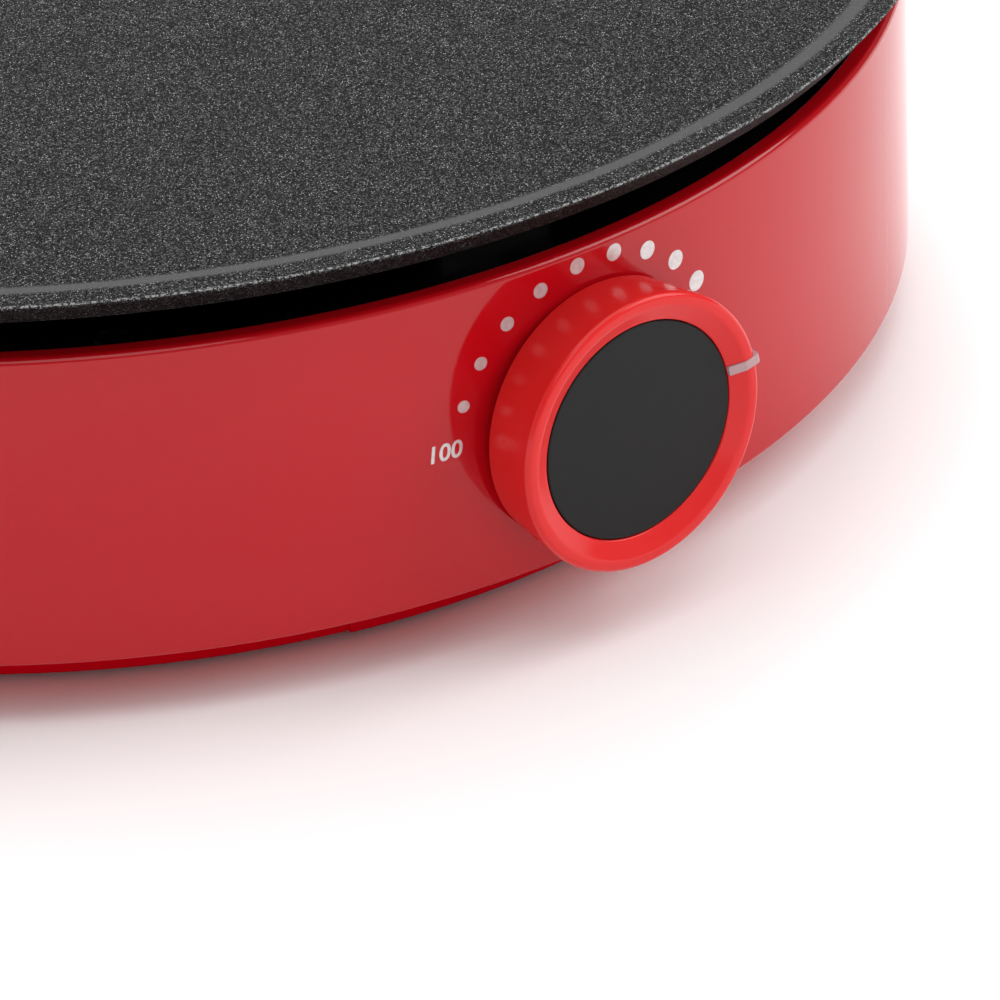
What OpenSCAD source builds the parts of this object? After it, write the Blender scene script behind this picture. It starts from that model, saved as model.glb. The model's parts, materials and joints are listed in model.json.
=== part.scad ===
// Electric crepe maker: a round housing on an inset base, a non-stick cooking plate on four
// spacers above it, a tubular element under the plate and a thermostat knob on the front.
// Origin on the table under the housing's axis. +Z is up, the knob faces -Y, the cord leaves at +Y.

/* [Housing] */
// Distance of the housing's wall inside the cooking plate's edge
plate_over = 6; // [4:0.5:9]
// Height of the housing's wall, from its bottom edge to the top of its rim
wall_h = 53.8; // [50:0.1:60]
// Thickness of the wall
wall_t = 2.6; // [2:0.1:3]
// Width of the thickened rim at the top of the wall
rim_w = 3.3; // [3.1:0.1:3.6]
// Depth of the thickened rim
rim_h = 3.5; // [2:0.1:4]
// Radius of the rim's outer edge
rim_round = 1.2; // [0.6:0.1:1.6]
// Depth of the heat shield's seat below the top of the rim
ledge_drop = 4.5; // [4.2:0.1:6]
// Width of the ledge that the heat shield sits on
ledge_w = 6.8; // [6:0.1:8]
// Thickness of the ledge
ledge_t = 2.5; // [2:0.1:3.5]
// Width of the flange at the bottom of the wall
flange_w = 28; // [26:0.5:32]
// Thickness of the flange
flange_t = 2.5; // [2:0.1:3.5]
// Number of stiffening ribs between the wall and the flange in each quarter
ribs_per_quarter = 3; // [2:1:4]
// Thickness of a rib
rib_t = 2; // [1.5:0.1:3]
// Height of a rib above the flange
rib_h = 22; // [14:1:26]

/* [Base] */
// Height of the base's skirt
skirt_h = 10; // [8.5:0.1:13]
// Distance of the skirt inside the outer face of the wall
skirt_in = 13.9; // [12:0.1:15]
// Thickness of the base's floor and skirt
base_t = 2.5; // [2:0.1:3]
// Angle that each of the four raised pads covers on the skirt
pad_angle = 32.2; // [24:0.2:44]
// Distance that a pad stands out of the skirt
pad_out = 0.5; // [0.4:0.1:1.2]
// Distance that a pad reaches below the skirt
pad_drop = 0.1; // [0.1:0.1:0.6]
// Distance of the base screws inside the outer face of the wall
base_screw_in = 24.5; // [23.5:0.5:26.5]
// Number of vent slots in each of the two groups
vent_count = 7; // [5:1:9]
// Width of a vent slot
vent_w = 3; // [2:0.1:4]
// Length of a vent slot
vent_l = 24; // [16:1:30]
// Distance of the vent slots' middle from the housing's axis
vent_r = 52; // [46:1:56]

/* [Feet] */
// Diameter of a rubber foot
foot_d = 18; // [14:0.5:20]
// Distance that a foot stands below the base
foot_proud = 1.2; // [1:0.1:2]
// Depth of the socket that a foot is glued into
foot_seat = 2.8; // [2:0.1:3.4]
// Distance of the feet's middle inside the outer face of the wall
foot_in = 34.5; // [30.5:0.5:38.5]

/* [Cooking plate] */
// Diameter of the plate at its top edge
plate_d = 305; // [300:0.5:312]
// Height of the plate's top edge above the rim of the housing
plate_lift = 12.2; // [11.5:0.1:14]
// Thickness of the plate under the cooking surface
plate_t = 3.2; // [2.8:0.1:3.6]
// Height of the plate's outer side
edge_h = 4.5; // [4.2:0.1:5.2]
// Distance that the outer side slopes inwards from top to bottom
edge_in = 3.6; // [2:0.1:4.5]
// Width of the raised flat round the cooking surface
border_w = 4.4; // [3.5:0.1:6]
// Width of the slope between the raised flat and the cooking surface
slope_w = 2.8; // [2:0.1:4]
// Height of the raised flat above the cooking surface
border_h = 0.5; // [0.3:0.1:0.8]
// Width of the lip under the plate's edge
lip_w = 3; // [2:0.1:5]

/* [Plate supports] */
// Distance of the plate's spacers inside the outer face of the wall
spacer_in = 28.5; // [26.5:0.5:31.5]
// Diameter of a spacer and of the boss above it
spacer_d = 12; // [10:0.5:13]
// Height of the bosses that the spacers meet
plate_boss_h = 4; // [3.5:0.1:5]
// Diameter of the plate screws
plate_screw_d = 4; // [3.5:0.1:4.5]

/* [Heating element] */
// Distance of the element's centre line inside the outer face of the wall
element_in = 51.5; // [50.5:0.5:54.5]
// Diameter of the element's tube
tube_d = 6.6; // [6:0.1:7]
// Angle between the two ends of the element, at the rear
element_gap = 26; // [22:1:34]
// Radius of the bends where the ends of the tube turn down
bend_r = 9; // [8:0.5:11]
// Length of the straight ends below the bends
leg_l = 9; // [8:0.5:12]
// Thickness of the straps that hold the element up
strap_t = 1; // [0.8:0.1:1.2]
// Width of a strap
strap_w = 10; // [9:0.5:12]
// Distance of a strap's screws from the element's centre line
strap_reach = 12; // [11:0.5:13]
// Diameter of the bosses that the straps' screws enter
strap_boss_d = 8; // [7.5:0.1:9]

/* [Heat shield] */
// Thickness of the shield's sheet
shield_t = 1; // [0.8:0.1:1.2]
// Depth of the pan in the middle of the shield
pan_depth = 6.5; // [5:0.5:8]
// Width of the flat between the pan's slope and the plate's spacers
pan_edge = 3; // [2:0.5:4]
// Width of the slope round the pan's floor
pan_slope = 5; // [3:0.5:6]
// Angle between the knob and the shield's nearest fixing screw
lug_angle = 31; // [28:1:38]
// Width of the raised lug round a fixing screw
lug_w = 13; // [11:0.5:15]
// Height of the raised lug
lug_h = 0.8; // [0.5:0.1:1.2]

/* [Knob] */
// Largest diameter of the knob's ring
knob_d = 47; // [43:0.5:48]
// Distance that the ring's side narrows from front to back, on the radius
knob_taper = 1.2; // [0.5:0.1:2]
// Depth of the ring from front to back
knob_depth = 11.3; // [10.8:0.1:13]
// Gap between the ring's back and the housing's wall
knob_gap = 0.5; // [0.4:0.1:1]
// Height of the knob's axis above the wall's bottom edge
knob_h = 24.9; // [24:0.1:27]
// Width of the ring's front round the black cap
knob_face_w = 5.15; // [4.5:0.05:6.5]
// Thickness of the cap
cap_t = 1.8; // [1.4:0.1:2]
// Distance of the cap's face behind the ring's front edge
cap_recess = 1.5; // [1:0.1:2]
// Radius of the ring's front edge
knob_round = 0.7; // [0.5:0.1:1.2]
// Width of the pointer
pointer_w = 1.7; // [1.2:0.1:2.4]
// Angle of the pointer above the right-hand side, as the knob is set
pointer_angle = 12; // [0:1:90]
// Distance that the pointer stands out of the ring's edge
pointer_out = 0.7; // [0.4:0.1:1]

/* [Thermostat] */
// Diameter of the thermostat's shaft
shaft_d = 6; // [5.5:0.1:6]
// Depth of the flat on the shaft
flat_depth = 1.5; // [1:0.1:1.8]
// Outside diameter of the bush that the shaft turns in
bush_d = 8.5; // [8:0.1:9.5]
// Distance of the bracket's front face inside the housing's outer face
bracket_in = 24.5; // [23:0.5:26]
// Thickness of the bracket's sheet
bracket_t = 1.5; // [1.2:0.1:1.8]
// Half of the bracket's width on the side away from the leaves
bracket_w = 11; // [9:0.5:12]
// Distance of the leaves' clamping rivet from the knob's axis
stack_x = 16; // [15.5:0.5:18]
// Diameter of the ceramic washers between the leaves
washer_d = 10; // [9:0.5:10]
// Width of the leaves
leaf_w = 7; // [6:0.5:8]
// Distance from the bracket to the contact leaf
arm_gap = 7.2; // [6.8:0.1:8]
// Distance from the contact leaf to the fixed contact's strip
contact_gap = 4; // [3.6:0.1:4.6]
// Distance from the fixed contact's strip to the bimetal
bimetal_gap = 3; // [2.6:0.1:4]
// Diameter of the ceramic thrust pin
pin_d = 3; // [2.6:0.1:3.2]

/* [Cord gland] */
// Height of the cord gland above the wall's bottom edge
gland_h = 20; // [17:0.5:24]
// Diameter of the gland's hole for the cord
gland_bore = 7.4; // [6.6:0.1:8]
// Diameter of the gland where it passes through the wall
gland_d = 12; // [11:0.5:13]
// Diameter of the gland's collars
gland_collar = 17; // [16:0.5:19]
// Distance that the gland reaches out of the housing
gland_reach = 10.5; // [9:0.5:11]

/* [Wiring] */
// Diameter of an insulated lead
lead_d = 2.6; // [2.2:0.1:3]
// Diameter of the thermal fuse
fuse_d = 4; // [3.6:0.1:4.4]
// Length of the thermal fuse
fuse_l = 12; // [10:0.5:14]
// Wall of the sleeve round the fuse
sleeve_t = 1; // [0.6:0.1:1.2]
// Distance between the terminal block's poles
pole_pitch = 9; // [8.5:0.1:11]
// Distance from the outer poles to the ends of the terminal block
block_end = 9; // [8.5:0.1:11]
// Width of the terminal block
block_w = 18; // [16:1:20]
// Height of the terminal block
block_h = 13; // [12:0.5:15]

/* [Fits] */
// Radial clearance of the turning shaft and the sliding pin
run_fit = 0.05; // [0.03:0.01:0.08]
// Radial clearance round screws, legs and parts that are dropped in
loose_fit = 0.15; // [0.1:0.01:0.25]

/* [Hidden] */
$fn = 96;

// Heights above the table
skirt_z = foot_proud;
wall_z = skirt_z + skirt_h;
rim_z = wall_z + wall_h;
ledge_z = rim_z - ledge_drop;
shield_z = ledge_z + shield_t;
plate_z = rim_z + plate_lift;
cook_z = plate_z - border_h;
under_z = cook_z - plate_t;
boss_z = under_z - plate_boss_h;
pan_z = ledge_z - pan_depth;
knob_z = wall_z + knob_h;
gland_z = wall_z + gland_h;

// Radii
plate_r = plate_d / 2;
body_r = plate_r - plate_over;
inner_r = body_r - wall_t;
skirt_r = body_r - skirt_in;
base_screw_r = body_r - base_screw_in;
foot_r = body_r - foot_in;
spacer_r = body_r - spacer_in;
element_r = body_r - element_in;
pan_top_r = spacer_r - spacer_d / 2 - pan_edge;
pan_r = pan_top_r - pan_slope;
knob_r = knob_d / 2;
cap_r = knob_r - knob_face_w;
shaft_r = shaft_d / 2;

// Small details
eps = 0.01;
lap = 0.1;                // how far joined shapes of one piece reach into each other
deep = 1;                 // how far a cut runs past the face that it opens
air = 0.1;                // gap between fixed pieces that nearly touch
pan_head_h = 2.4;         // height of a screw's head
cross_w = 1;              // width of the cross in a screw's head
cross_share = 0.6;        // length and depth of the cross, as a share of the head's
self_tap_d = 4;           // diameter of the base screws
small_screw_d = 3;        // diameter of the shield, strap, bracket and block screws
small_head_d = 6;         // diameter of their heads
post_wall = 3;            // plastic round a screw's hole
end_wall = 1.5;           // plastic left past the end of a blind hole

// Ribs, bosses and the gland's pad on the housing
rib_foot = 12;            // length of a rib's foot along the flange
rib_top = 2;              // the same at its top
base_boss_h = 17;         // height of the base screws' bosses above the flange
lug_boss_h = 14;          // height of the shield screws' bosses below the ledge
gland_pad_out = body_r + 0.7;
gland_pad_in = inner_r - 1.4;
wall_hole_d = bush_d + 1; // hole for the shaft in the wall

// Height of the element's centre line, hung just under the plate
element_z = under_z - air - tube_d / 2;
strap_top = element_z - tube_d / 2 - air;
leg_turn = element_gap / 2;
leg_bottom = element_z - bend_r - leg_l;
leg_lap = 0.6;            // how far the runs of the tube reach into each other
leg_out = bend_r - leg_lap;
pin_wire_d = 2.3;         // diameter of the element's cold pin
seal_h = 4;
tab_w = 6.3;              // the tabs on the element and the thermostat
tab_h = 9;
tab_t = 0.8;

// Distances from the housing's axis along the knob's axis
knob_back = body_r + knob_gap;
knob_front = knob_back + knob_depth;
cap_face = knob_front - cap_recess;
pocket = cap_face - cap_t;
hub_floor = 1.8;                                // plastic behind the cap's pocket
shaft_front = pocket - 1.5;
bracket_front = body_r - bracket_in;
bracket_back = bracket_front - bracket_t;
bush_flange_t = 2;
bush_nose = bracket_front + 6;
nut_t = 2.5;
shoulder_d = shaft_d + 3;
shoulder_t = 1.2;
bush_back = bracket_back - bush_flange_t;
shaft_back = bush_back - air - shoulder_t;
shaft_flat = shaft_r - flat_depth;              // distance of the flat from the knob's axis
spring_t = 0.4;
arm_t = 0.4;
strip_t = 0.8;
arm_y = bracket_back - arm_gap;                 // face of the contact leaf towards the knob
strip_y = arm_y - arm_t - contact_gap;          // the same of the fixed contact's strip
bimetal_y = strip_y - strip_t - bimetal_gap;    // the same of the bimetal
rivet_d = 3;
rivet_head = 2.4;                               // how much wider a rivet's head is
pin_hole = 2.2;                                 // depth of the shaft's hole for the thrust pin
pin_play = 0.5;                                 // the pin's way to the bottom of that hole
contact_d = 3;
contact_h = 1;                                  // height of the contact on the leaf
contact_open = 0.2;                             // gap between the contacts as the knob is set
contact_x = -5;
bead_x = -11.5;
leaf_end = -14;
hinge_x = stack_x - washer_d / 2 - 0.5;         // where the leaves leave the washers and bend
bending_x = hinge_x + 0.3;                      // end of the bending parts of the leaves
fixed_x = hinge_x + 0.6;                        // end of the fixed parts
tab_x = stack_x + washer_d / 2;
tab_l = 11;
tab_tip = tab_x + tab_l;

// Screw places
base_screw_angles = [45, 135, 225, 315];
foot_angles = [0, 90, 180, 270];
spacer_angles = [45, 135, 225, 315];
strap_angles = [35, 145, 270];
lug_angles = [lug_angle, 180 - lug_angle, 180 + lug_angle, 360 - lug_angle];
lug_r = inner_r - ledge_w / 2 - 0.6;
bracket_screw_x = [-6, 6];
flange_clear = 5.7;       // distance from the bracket's top flange to the element's tube
flange_reach = bracket_front - element_r - tube_d / 2 - flange_clear;
bracket_screw_y = bracket_front - flange_reach + 7;
earth_angle = 225;
earth_t = 0.8;

// Terminal block and fuse
block_x = -36;
block_in = 58.5;          // distance of the block's middle inside the wall's outer face
block_pos = [block_x, body_r - block_in];
block_post_h = 4;
block_z = skirt_z + base_t + block_post_h;
block_l = 2 * (pole_pitch + block_end);
block_ears = [for (s = [-1, 1]) s * (pole_pitch + block_end - 3)];
poles = [-pole_pitch, 0, pole_pitch];
pole_bore = 4.6;
pole_z = block_z + block_h * 0.4;
pole_y = block_pos.y - block_w / 2;
fuse_in = 57;             // distance of the fuse inside the element's rear
fuse_pos = [0, element_r - fuse_in];
sleeve_d = fuse_d + 2 * sleeve_t;
fuse_z = pan_z - air - sleeve_d / 2;
sleeve_l = fuse_l + 10;
wire_stub = 1;            // length of the fuse's wire past its sleeve
clip_t = 0.8;
clip_reach = 9;           // distance from the fuse to its clip's rivet

// Push-on connectors: a flat grip for the tab and a barrel for the lead
con_w = 7.6;
con_t = 2.8;
con_grip = 7;
con_l = 13;
con_on = 5.5;             // how far a connector is pushed onto a tab
lead_hole = lead_d + 0.2; // hole that a lead's end goes into
lead_in = 2;              // how far it goes into a connector
clamp_screw_d = 3.4;
block_head_d = 5.2;       // heads of the terminal block's screws

// Routes of the leads between the base and the pan, as shares that inside() turns into points
live_route = [[35, -72, 52], [42, -50, 32], [38, -21, 20], [17, 3, 16], [-10, 22, 16], [-22, 36, 18]];
load_route = [[36, -67, 72], [33, -42, 78], [26, -14, 80], [22, 10, 82], [19, 22, 88]];
fuse_route = [[-17, 32, 76], [-11, 44, 48], [-9, 57, 30]];
neutral_route = [[-14, 42, 20], [0, 40, 20], [9, 54, 22]];
earth_route = [[-38, 49, 36], [-40, 63, 60], [-42, 68, 84]];

// Points on a circular arc
function arc(c, r, a0, a1, n = 8) =
    [for (i = [0:n]) c + r * [cos(a0 + (a1 - a0) * i / n), sin(a0 + (a1 - a0) * i / n)]];

// Places its children around the vertical axis; angle 0 is at the knob
module around(angles, r) {
    for (a = angles) rotate([0, 0, a]) translate([0, -r, 0]) children();
}

// Local z runs outwards along the knob's axis and local y runs up
module on_knob_axis(d = 0) {
    translate([0, -d, knob_z]) rotate([90, 0, 0]) children();
}

// Pan-head screw with its head's seat at z = 0 and its shank pointing up
module screw(d, l, head_d) {
    difference() {
        union() {
            cylinder(h = l, d = d);
            translate([0, 0, -pan_head_h]) cylinder(h = pan_head_h, d = head_d);
        }
        for (a = [0, 90]) rotate([0, 0, a])
            translate([-head_d * cross_share / 2, -cross_w / 2, -pan_head_h - deep])
                cube([head_d * cross_share, cross_w, deep + pan_head_h * cross_share]);
    }
}

// Tube of eight sides swept along a list of points
module sweep(path, d) {
    sides = 8;
    n = len(path);
    function unit(v) = v / norm(v);
    function tangent(i) = unit(path[min(i + 1, n - 1)] - path[max(i - 1, 0)]);
    function carry(u, t) = unit(u - (u * t) * t);
    function start(t) = carry(abs(t.z) < 0.9 ? [0, 0, 1] : [1, 0, 0], t);
    function normals(i, u) =
        i == n ? [] : let (v = carry(u, tangent(i))) concat([v], normals(i + 1, v));
    side = normals(0, start(tangent(0)));
    ring = [for (i = [0:n - 1]) let (u = side[i], v = cross(tangent(i), u))
            for (k = [0:sides - 1]) let (a = k * 360 / sides)
                path[i] + d / 2 * (cos(a) * u + sin(a) * v)];
    skin = [for (i = [0:n - 2]) for (k = [0:sides - 1]) let (a = i * sides, b = (k + 1) % sides)
            each [[a + k, a + b, a + b + sides], [a + k, a + b + sides, a + k + sides]]];
    ends = [[for (k = [sides - 1:-1:0]) k], [for (k = [0:sides - 1]) (n - 1) * sides + k]];
    polyhedron(points = ring, faces = [for (f = concat(skin, ends)) [for (j = [len(f) - 1:-1:0]) f[j]]],
               convexity = 6);
}

// Points of a smooth curve through a list of corners, with a given number of steps per span
function spline(p, steps = 4) = let (n = len(p)) concat(
    [for (i = [0:n - 2]) for (j = [0:steps - 1])
        let (t = j / steps, a = p[max(i - 1, 0)], b = p[i], c = p[i + 1], e = p[min(i + 2, n - 1)])
        0.5 * (2 * b + (c - a) * t + (2 * a - 5 * b + 4 * c - e) * t ^ 2
               + (3 * b - a - 3 * c + e) * t ^ 3)],
    [p[n - 1]]);

// ---- Housing ----

module wall_profile() {
    r = rim_round;
    flange_r = inner_r - flange_w;
    flange_z = wall_z + flange_t;
    polygon(concat(
        [[flange_r, wall_z], [body_r, wall_z]],
        arc([body_r - r, rim_z - r], r, 0, 90),
        [[body_r - rim_w, rim_z], [body_r - rim_w, rim_z - rim_h], [inner_r, rim_z - rim_h],
         [inner_r, ledge_z], [inner_r - ledge_w, ledge_z], [inner_r - ledge_w, ledge_z - ledge_t],
         [inner_r, ledge_z - ledge_t], [inner_r, flange_z], [flange_r, flange_z]]));
}

module rib() {
    foot_z = wall_z + flange_t - lap;
    top_z = wall_z + flange_t + rib_h;
    middle_r = body_r - wall_t / 2;
    rotate([90, 0, -90]) translate([0, 0, -rib_t / 2]) linear_extrude(height = rib_t)
        polygon([[inner_r - rib_foot, foot_z], [middle_r, foot_z], [middle_r, top_z],
                 [inner_r - rib_top, top_z]]);
}

module body_shell() {
    boss_top = wall_z + flange_t + base_boss_h;
    lug_boss_z = ledge_z - lug_boss_h;
    rib_step = 90 / ribs_per_quarter;
    color("#b73235") difference() {
        union() {
            rotate_extrude($fn = 180) wall_profile();
            for (a = [rib_step / 2:rib_step:360]) rotate([0, 0, a]) rib();
            around(base_screw_angles, base_screw_r) translate([0, 0, wall_z])
                cylinder(h = boss_top - wall_z, d = self_tap_d + 2 * post_wall);
            around(lug_angles, lug_r) translate([0, 0, lug_boss_z])
                cylinder(h = lug_boss_h - eps, d = small_screw_d + 4);
            translate([0, gland_pad_in, gland_z]) rotate([-90, 0, 0])
                cylinder(h = gland_pad_out - gland_pad_in, d = gland_collar + 2);
        }
        around(base_screw_angles, base_screw_r) translate([0, 0, wall_z - deep])
            cylinder(h = boss_top - wall_z - end_wall + deep, d = self_tap_d + 2 * run_fit);
        around(lug_angles, lug_r) translate([0, 0, lug_boss_z + end_wall])
            cylinder(h = lug_boss_h, d = small_screw_d + 2 * run_fit);
        on_knob_axis(inner_r - deep) cylinder(h = wall_t + 2 * deep, d = wall_hole_d);
        translate([0, gland_pad_in - deep, gland_z]) rotate([-90, 0, 0])
            cylinder(h = gland_pad_out - gland_pad_in + 2 * deep, d = gland_d);
    }
}

// ---- Base ----

post_d = self_tap_d + 2 * post_wall + 2.5;
well_d = self_tap_d + 5;
well_top = wall_z - 4;
block_post_d = small_screw_d + 3.5;

module skirt_pad() {
    rotate([0, 0, -90 - pad_angle / 2]) rotate_extrude(angle = pad_angle, $fn = 180)
        translate([skirt_r - base_t / 2, skirt_z - pad_drop])
            square([base_t / 2 + pad_out, skirt_h + pad_drop / 2]);
}

module vents() {
    pitch = 3 * vent_w;
    cut = base_t + 2 * deep;
    for (side = [-1, 1]) for (i = [0:vent_count - 1])
        translate([(i - (vent_count - 1) / 2) * pitch, side * vent_r, skirt_z - deep]) {
            translate([-vent_w / 2, -vent_l / 2, 0]) cube([vent_w, vent_l, cut]);
            for (e = [-1, 1]) translate([0, e * vent_l / 2, 0]) cylinder(h = cut, d = vent_w);
        }
}

module base_plate() {
    color("#8c0a14") difference() {
        union() {
            translate([0, 0, skirt_z]) cylinder(h = base_t, r = skirt_r, $fn = 180);
            rotate_extrude($fn = 180) translate([skirt_r - base_t, skirt_z]) square([base_t, skirt_h]);
            for (a = foot_angles) rotate([0, 0, a]) skirt_pad();
            around(base_screw_angles, base_screw_r)
                translate([0, 0, skirt_z + eps]) cylinder(h = skirt_h - eps, d = post_d);
            around(foot_angles, foot_r)
                translate([0, 0, skirt_z + eps]) cylinder(h = foot_seat + 2 - eps, d = foot_d + 4);
            for (x = block_ears) translate([block_pos.x + x, block_pos.y, skirt_z + eps])
                cylinder(h = block_z - skirt_z - eps, d = block_post_d);
        }
        around(base_screw_angles, base_screw_r) {
            translate([0, 0, skirt_z - deep])
                cylinder(h = skirt_h + 2 * deep, d = self_tap_d + 2 * loose_fit);
            translate([0, 0, skirt_z - deep]) cylinder(h = well_top - skirt_z + deep, d = well_d);
        }
        around(foot_angles, foot_r)
            translate([0, 0, skirt_z - deep]) cylinder(h = foot_seat + deep, d = foot_d + 2 * loose_fit);
        for (x = block_ears) translate([block_pos.x + x, block_pos.y, skirt_z + end_wall])
            cylinder(h = block_z, d = small_screw_d + 2 * run_fit);
        vents();
    }
}

module base_screws() {
    color("silver") around(base_screw_angles, base_screw_r)
        translate([0, 0, well_top]) screw(self_tap_d, base_boss_h - 1, 2 * self_tap_d);
}

module rubber_feet() {
    color("#202020") around(foot_angles, foot_r) cylinder(h = foot_proud + foot_seat, d = foot_d);
}

// ---- Cooking plate and its supports ----

module plate_profile() {
    low_z = plate_z - edge_h;
    low_r = plate_r - edge_in;
    border_r = plate_r - border_w;
    lip_r = low_r - lip_w;
    top_round = 0.3;
    low_round = 0.5;
    lip_slope = 1.5;
    polygon([[0, under_z], [lip_r - lip_slope, under_z], [lip_r, low_z], [low_r - low_round, low_z],
             [low_r, low_z + low_round], [plate_r, plate_z - top_round], [plate_r - top_round, plate_z],
             [border_r, plate_z], [border_r - slope_w, cook_z], [0, cook_z]]);
}

// Bosses under the plate, or the screw holes in them
module plate_bosses(drill = false) {
    into = drill ? plate_t / 2 - 0.4 : plate_t / 2;
    hole = 2 * run_fit;
    around(spacer_angles, spacer_r) translate([0, 0, boss_z])
        cylinder(h = plate_boss_h + into, d = drill ? plate_screw_d + hole : spacer_d);
    around(strap_angles, element_r) for (s = [-1, 1]) translate([0, s * strap_reach, strap_top])
        cylinder(h = under_z - strap_top + into, d = drill ? small_screw_d + hole : strap_boss_d);
    for (x = bracket_screw_x) translate([x, -bracket_screw_y, boss_z])
        cylinder(h = plate_boss_h + into, d = drill ? small_screw_d + hole : strap_boss_d);
}

module crepe_plate() {
    fin_gap = tube_d / 2 + 0.3;
    fin_t = 2;
    color("#3c3c3c") difference() {
        union() {
            rotate_extrude($fn = 180) plate_profile();
            for (r = [element_r - fin_gap - fin_t, element_r + fin_gap]) rotate_extrude($fn = 180)
                translate([r, under_z - tube_d / 2]) square([fin_t, tube_d / 2 + plate_t / 2]);
            plate_bosses();
        }
        translate([0, 0, -eps]) plate_bosses(drill = true);
    }
}

module plate_spacers() {
    color("#9a9a96") around(spacer_angles, spacer_r) translate([0, 0, shield_z]) difference() {
        cylinder(h = boss_z - shield_z, d = spacer_d);
        translate([0, 0, -deep]) cylinder(h = boss_z, d = plate_screw_d + 2 * loose_fit);
    }
}

module plate_screws() {
    reach = under_z - ledge_z;
    color("silver") for (a = spacer_angles) around([a], spacer_r)
        translate([0, 0, ledge_z - (a == earth_angle ? earth_t : 0)])
            screw(plate_screw_d, reach, 2 * plate_screw_d);
}

// ---- Heating element ----

// Runs its children at both ends of the element; local x points outwards along the tube's end
module element_ends() {
    for (s = [0, 1]) mirror([s, 0, 0]) rotate([0, 0, leg_turn]) translate([0, element_r, 0]) children();
}

module heating_element() {
    step = 0.1;         // the bends are this much slimmer, so that each run keeps its own surface
    color("#6a6460") union() {
        rotate([0, 0, 90 + leg_turn]) rotate_extrude(angle = 360 - element_gap, $fn = 180)
            translate([element_r, element_z]) circle(d = tube_d, $fn = 48);
        element_ends() {
            translate([-leg_lap, 0, element_z - bend_r]) rotate([90, 0, 0])
                rotate_extrude(angle = 90) translate([bend_r, 0]) circle(d = tube_d - 2 * step, $fn = 48);
            translate([leg_out, 0, leg_bottom]) cylinder(h = leg_l + leg_lap, d = tube_d, $fn = 48);
        }
    }
}

module at_legs() {
    element_ends() translate([leg_out, 0, leg_bottom]) children();
}

module element_seals() {
    color("ivory") at_legs() translate([0, 0, -seal_h]) difference() {
        cylinder(h = seal_h, d = tube_d - 0.6);
        translate([0, 0, -deep]) cylinder(h = seal_h + 2 * deep, d = pin_wire_d + air);
    }
}

// Tabs welded to the cold pins, which come out of the seals
module element_tabs() {
    weld = 1;
    color("silver") at_legs() translate([0, 0, -seal_h - tab_h]) {
        translate([-tab_w / 2, -tab_t / 2, 0]) cube([tab_w, tab_t, tab_h - weld]);
        translate([0, 0, tab_h - 2 * weld]) cylinder(h = seal_h + 2 * weld - air, d = pin_wire_d);
    }
}

module element_straps() {
    l = 2 * strap_reach + strap_boss_d;
    color("#a8a8a4") around(strap_angles, element_r) translate([0, 0, strap_top - strap_t]) difference() {
        translate([-strap_w / 2, -l / 2, 0]) cube([strap_w, l, strap_t]);
        for (s = [-1, 1]) translate([0, s * strap_reach, -deep])
            cylinder(h = strap_t + 2 * deep, d = small_screw_d + 2 * loose_fit);
    }
}

module strap_screws() {
    color("silver") around(strap_angles, element_r) for (s = [-1, 1])
        translate([0, s * strap_reach, strap_top - strap_t])
            screw(small_screw_d, strap_t + under_z - strap_top, small_head_d);
}

// ---- Heat shield ----

shield_r = body_r - rim_w - 2 * loose_fit;
lug_top = shield_z + lug_h;

module shield_profile() {
    shift = 0.6 * shield_t;     // keeps the sheet's thickness on the pan's slope
    polygon([[0, pan_z], [pan_r, pan_z], [pan_top_r, ledge_z], [shield_r, ledge_z],
             [shield_r, shield_z], [pan_top_r - shift, shield_z],
             [pan_r - shift, pan_z + shield_t], [0, pan_z + shield_t]]);
}

module shield_lugs() {
    lug_l = 17;
    intersection() {
        around(lug_angles, lug_r) translate([-lug_w / 2, 7 - lug_l, ledge_z + eps])
            cube([lug_w, lug_l, lug_top - ledge_z - eps]);
        cylinder(h = plate_z, r = shield_r - 2 * air, $fn = 180);
    }
}

module heat_shield() {
    around_bracket = 3;
    window_x = bracket_w + around_bracket;
    color("#0b0b0b") difference() {
        union() {
            rotate_extrude($fn = 180) shield_profile();
            shield_lugs();
        }
        around(lug_angles, lug_r) translate([0, 0, ledge_z - deep])
            cylinder(h = ledge_drop + deep, d = small_screw_d + 2 * loose_fit);
        around(spacer_angles, spacer_r) translate([0, 0, ledge_z - deep])
            cylinder(h = shield_t + 2 * deep, d = plate_screw_d + 2 * loose_fit);
        translate([-window_x, -bracket_front - around_bracket, pan_z - deep])
            cube([window_x + stack_x, flange_reach + 7, pan_depth + shield_t + 2 * deep]);
        at_legs() cylinder(h = leg_l + bend_r, d = tube_d + 2);
        translate([fuse_pos.x, fuse_pos.y + clip_reach, pan_z - deep])
            cylinder(h = shield_t + 2 * deep, d = rivet_d + 2 * loose_fit);
    }
}

module shield_screws() {
    color("#151515") around(lug_angles, lug_r) translate([0, 0, lug_top]) mirror([0, 0, 1])
        screw(small_screw_d, lug_boss_h - 2 * end_wall, small_head_d);
}

// ---- Knob ----

// The ring's face slopes down from the rounded edge to a narrow shelf round the cap
module knob_ring_profile() {
    back_r = knob_r - knob_taper;
    skin_r = back_r - 2.2;
    hub_r = shaft_r + 3.2;
    hub_front = pocket - hub_floor;
    lip_r = knob_r - knob_round;
    seat_r = cap_r + loose_fit;
    shelf_w = 1.6;
    polygon(concat(
        [[0, knob_back], [hub_r, knob_back], [hub_r, hub_front], [skin_r, hub_front],
         [skin_r, knob_back], [back_r, knob_back]],
        arc([lip_r, knob_front - knob_round], knob_round, 0, 120, 10),
        [[seat_r + shelf_w, cap_face + 0.35], [seat_r, cap_face + air], [seat_r, pocket], [0, pocket]]));
}

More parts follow.
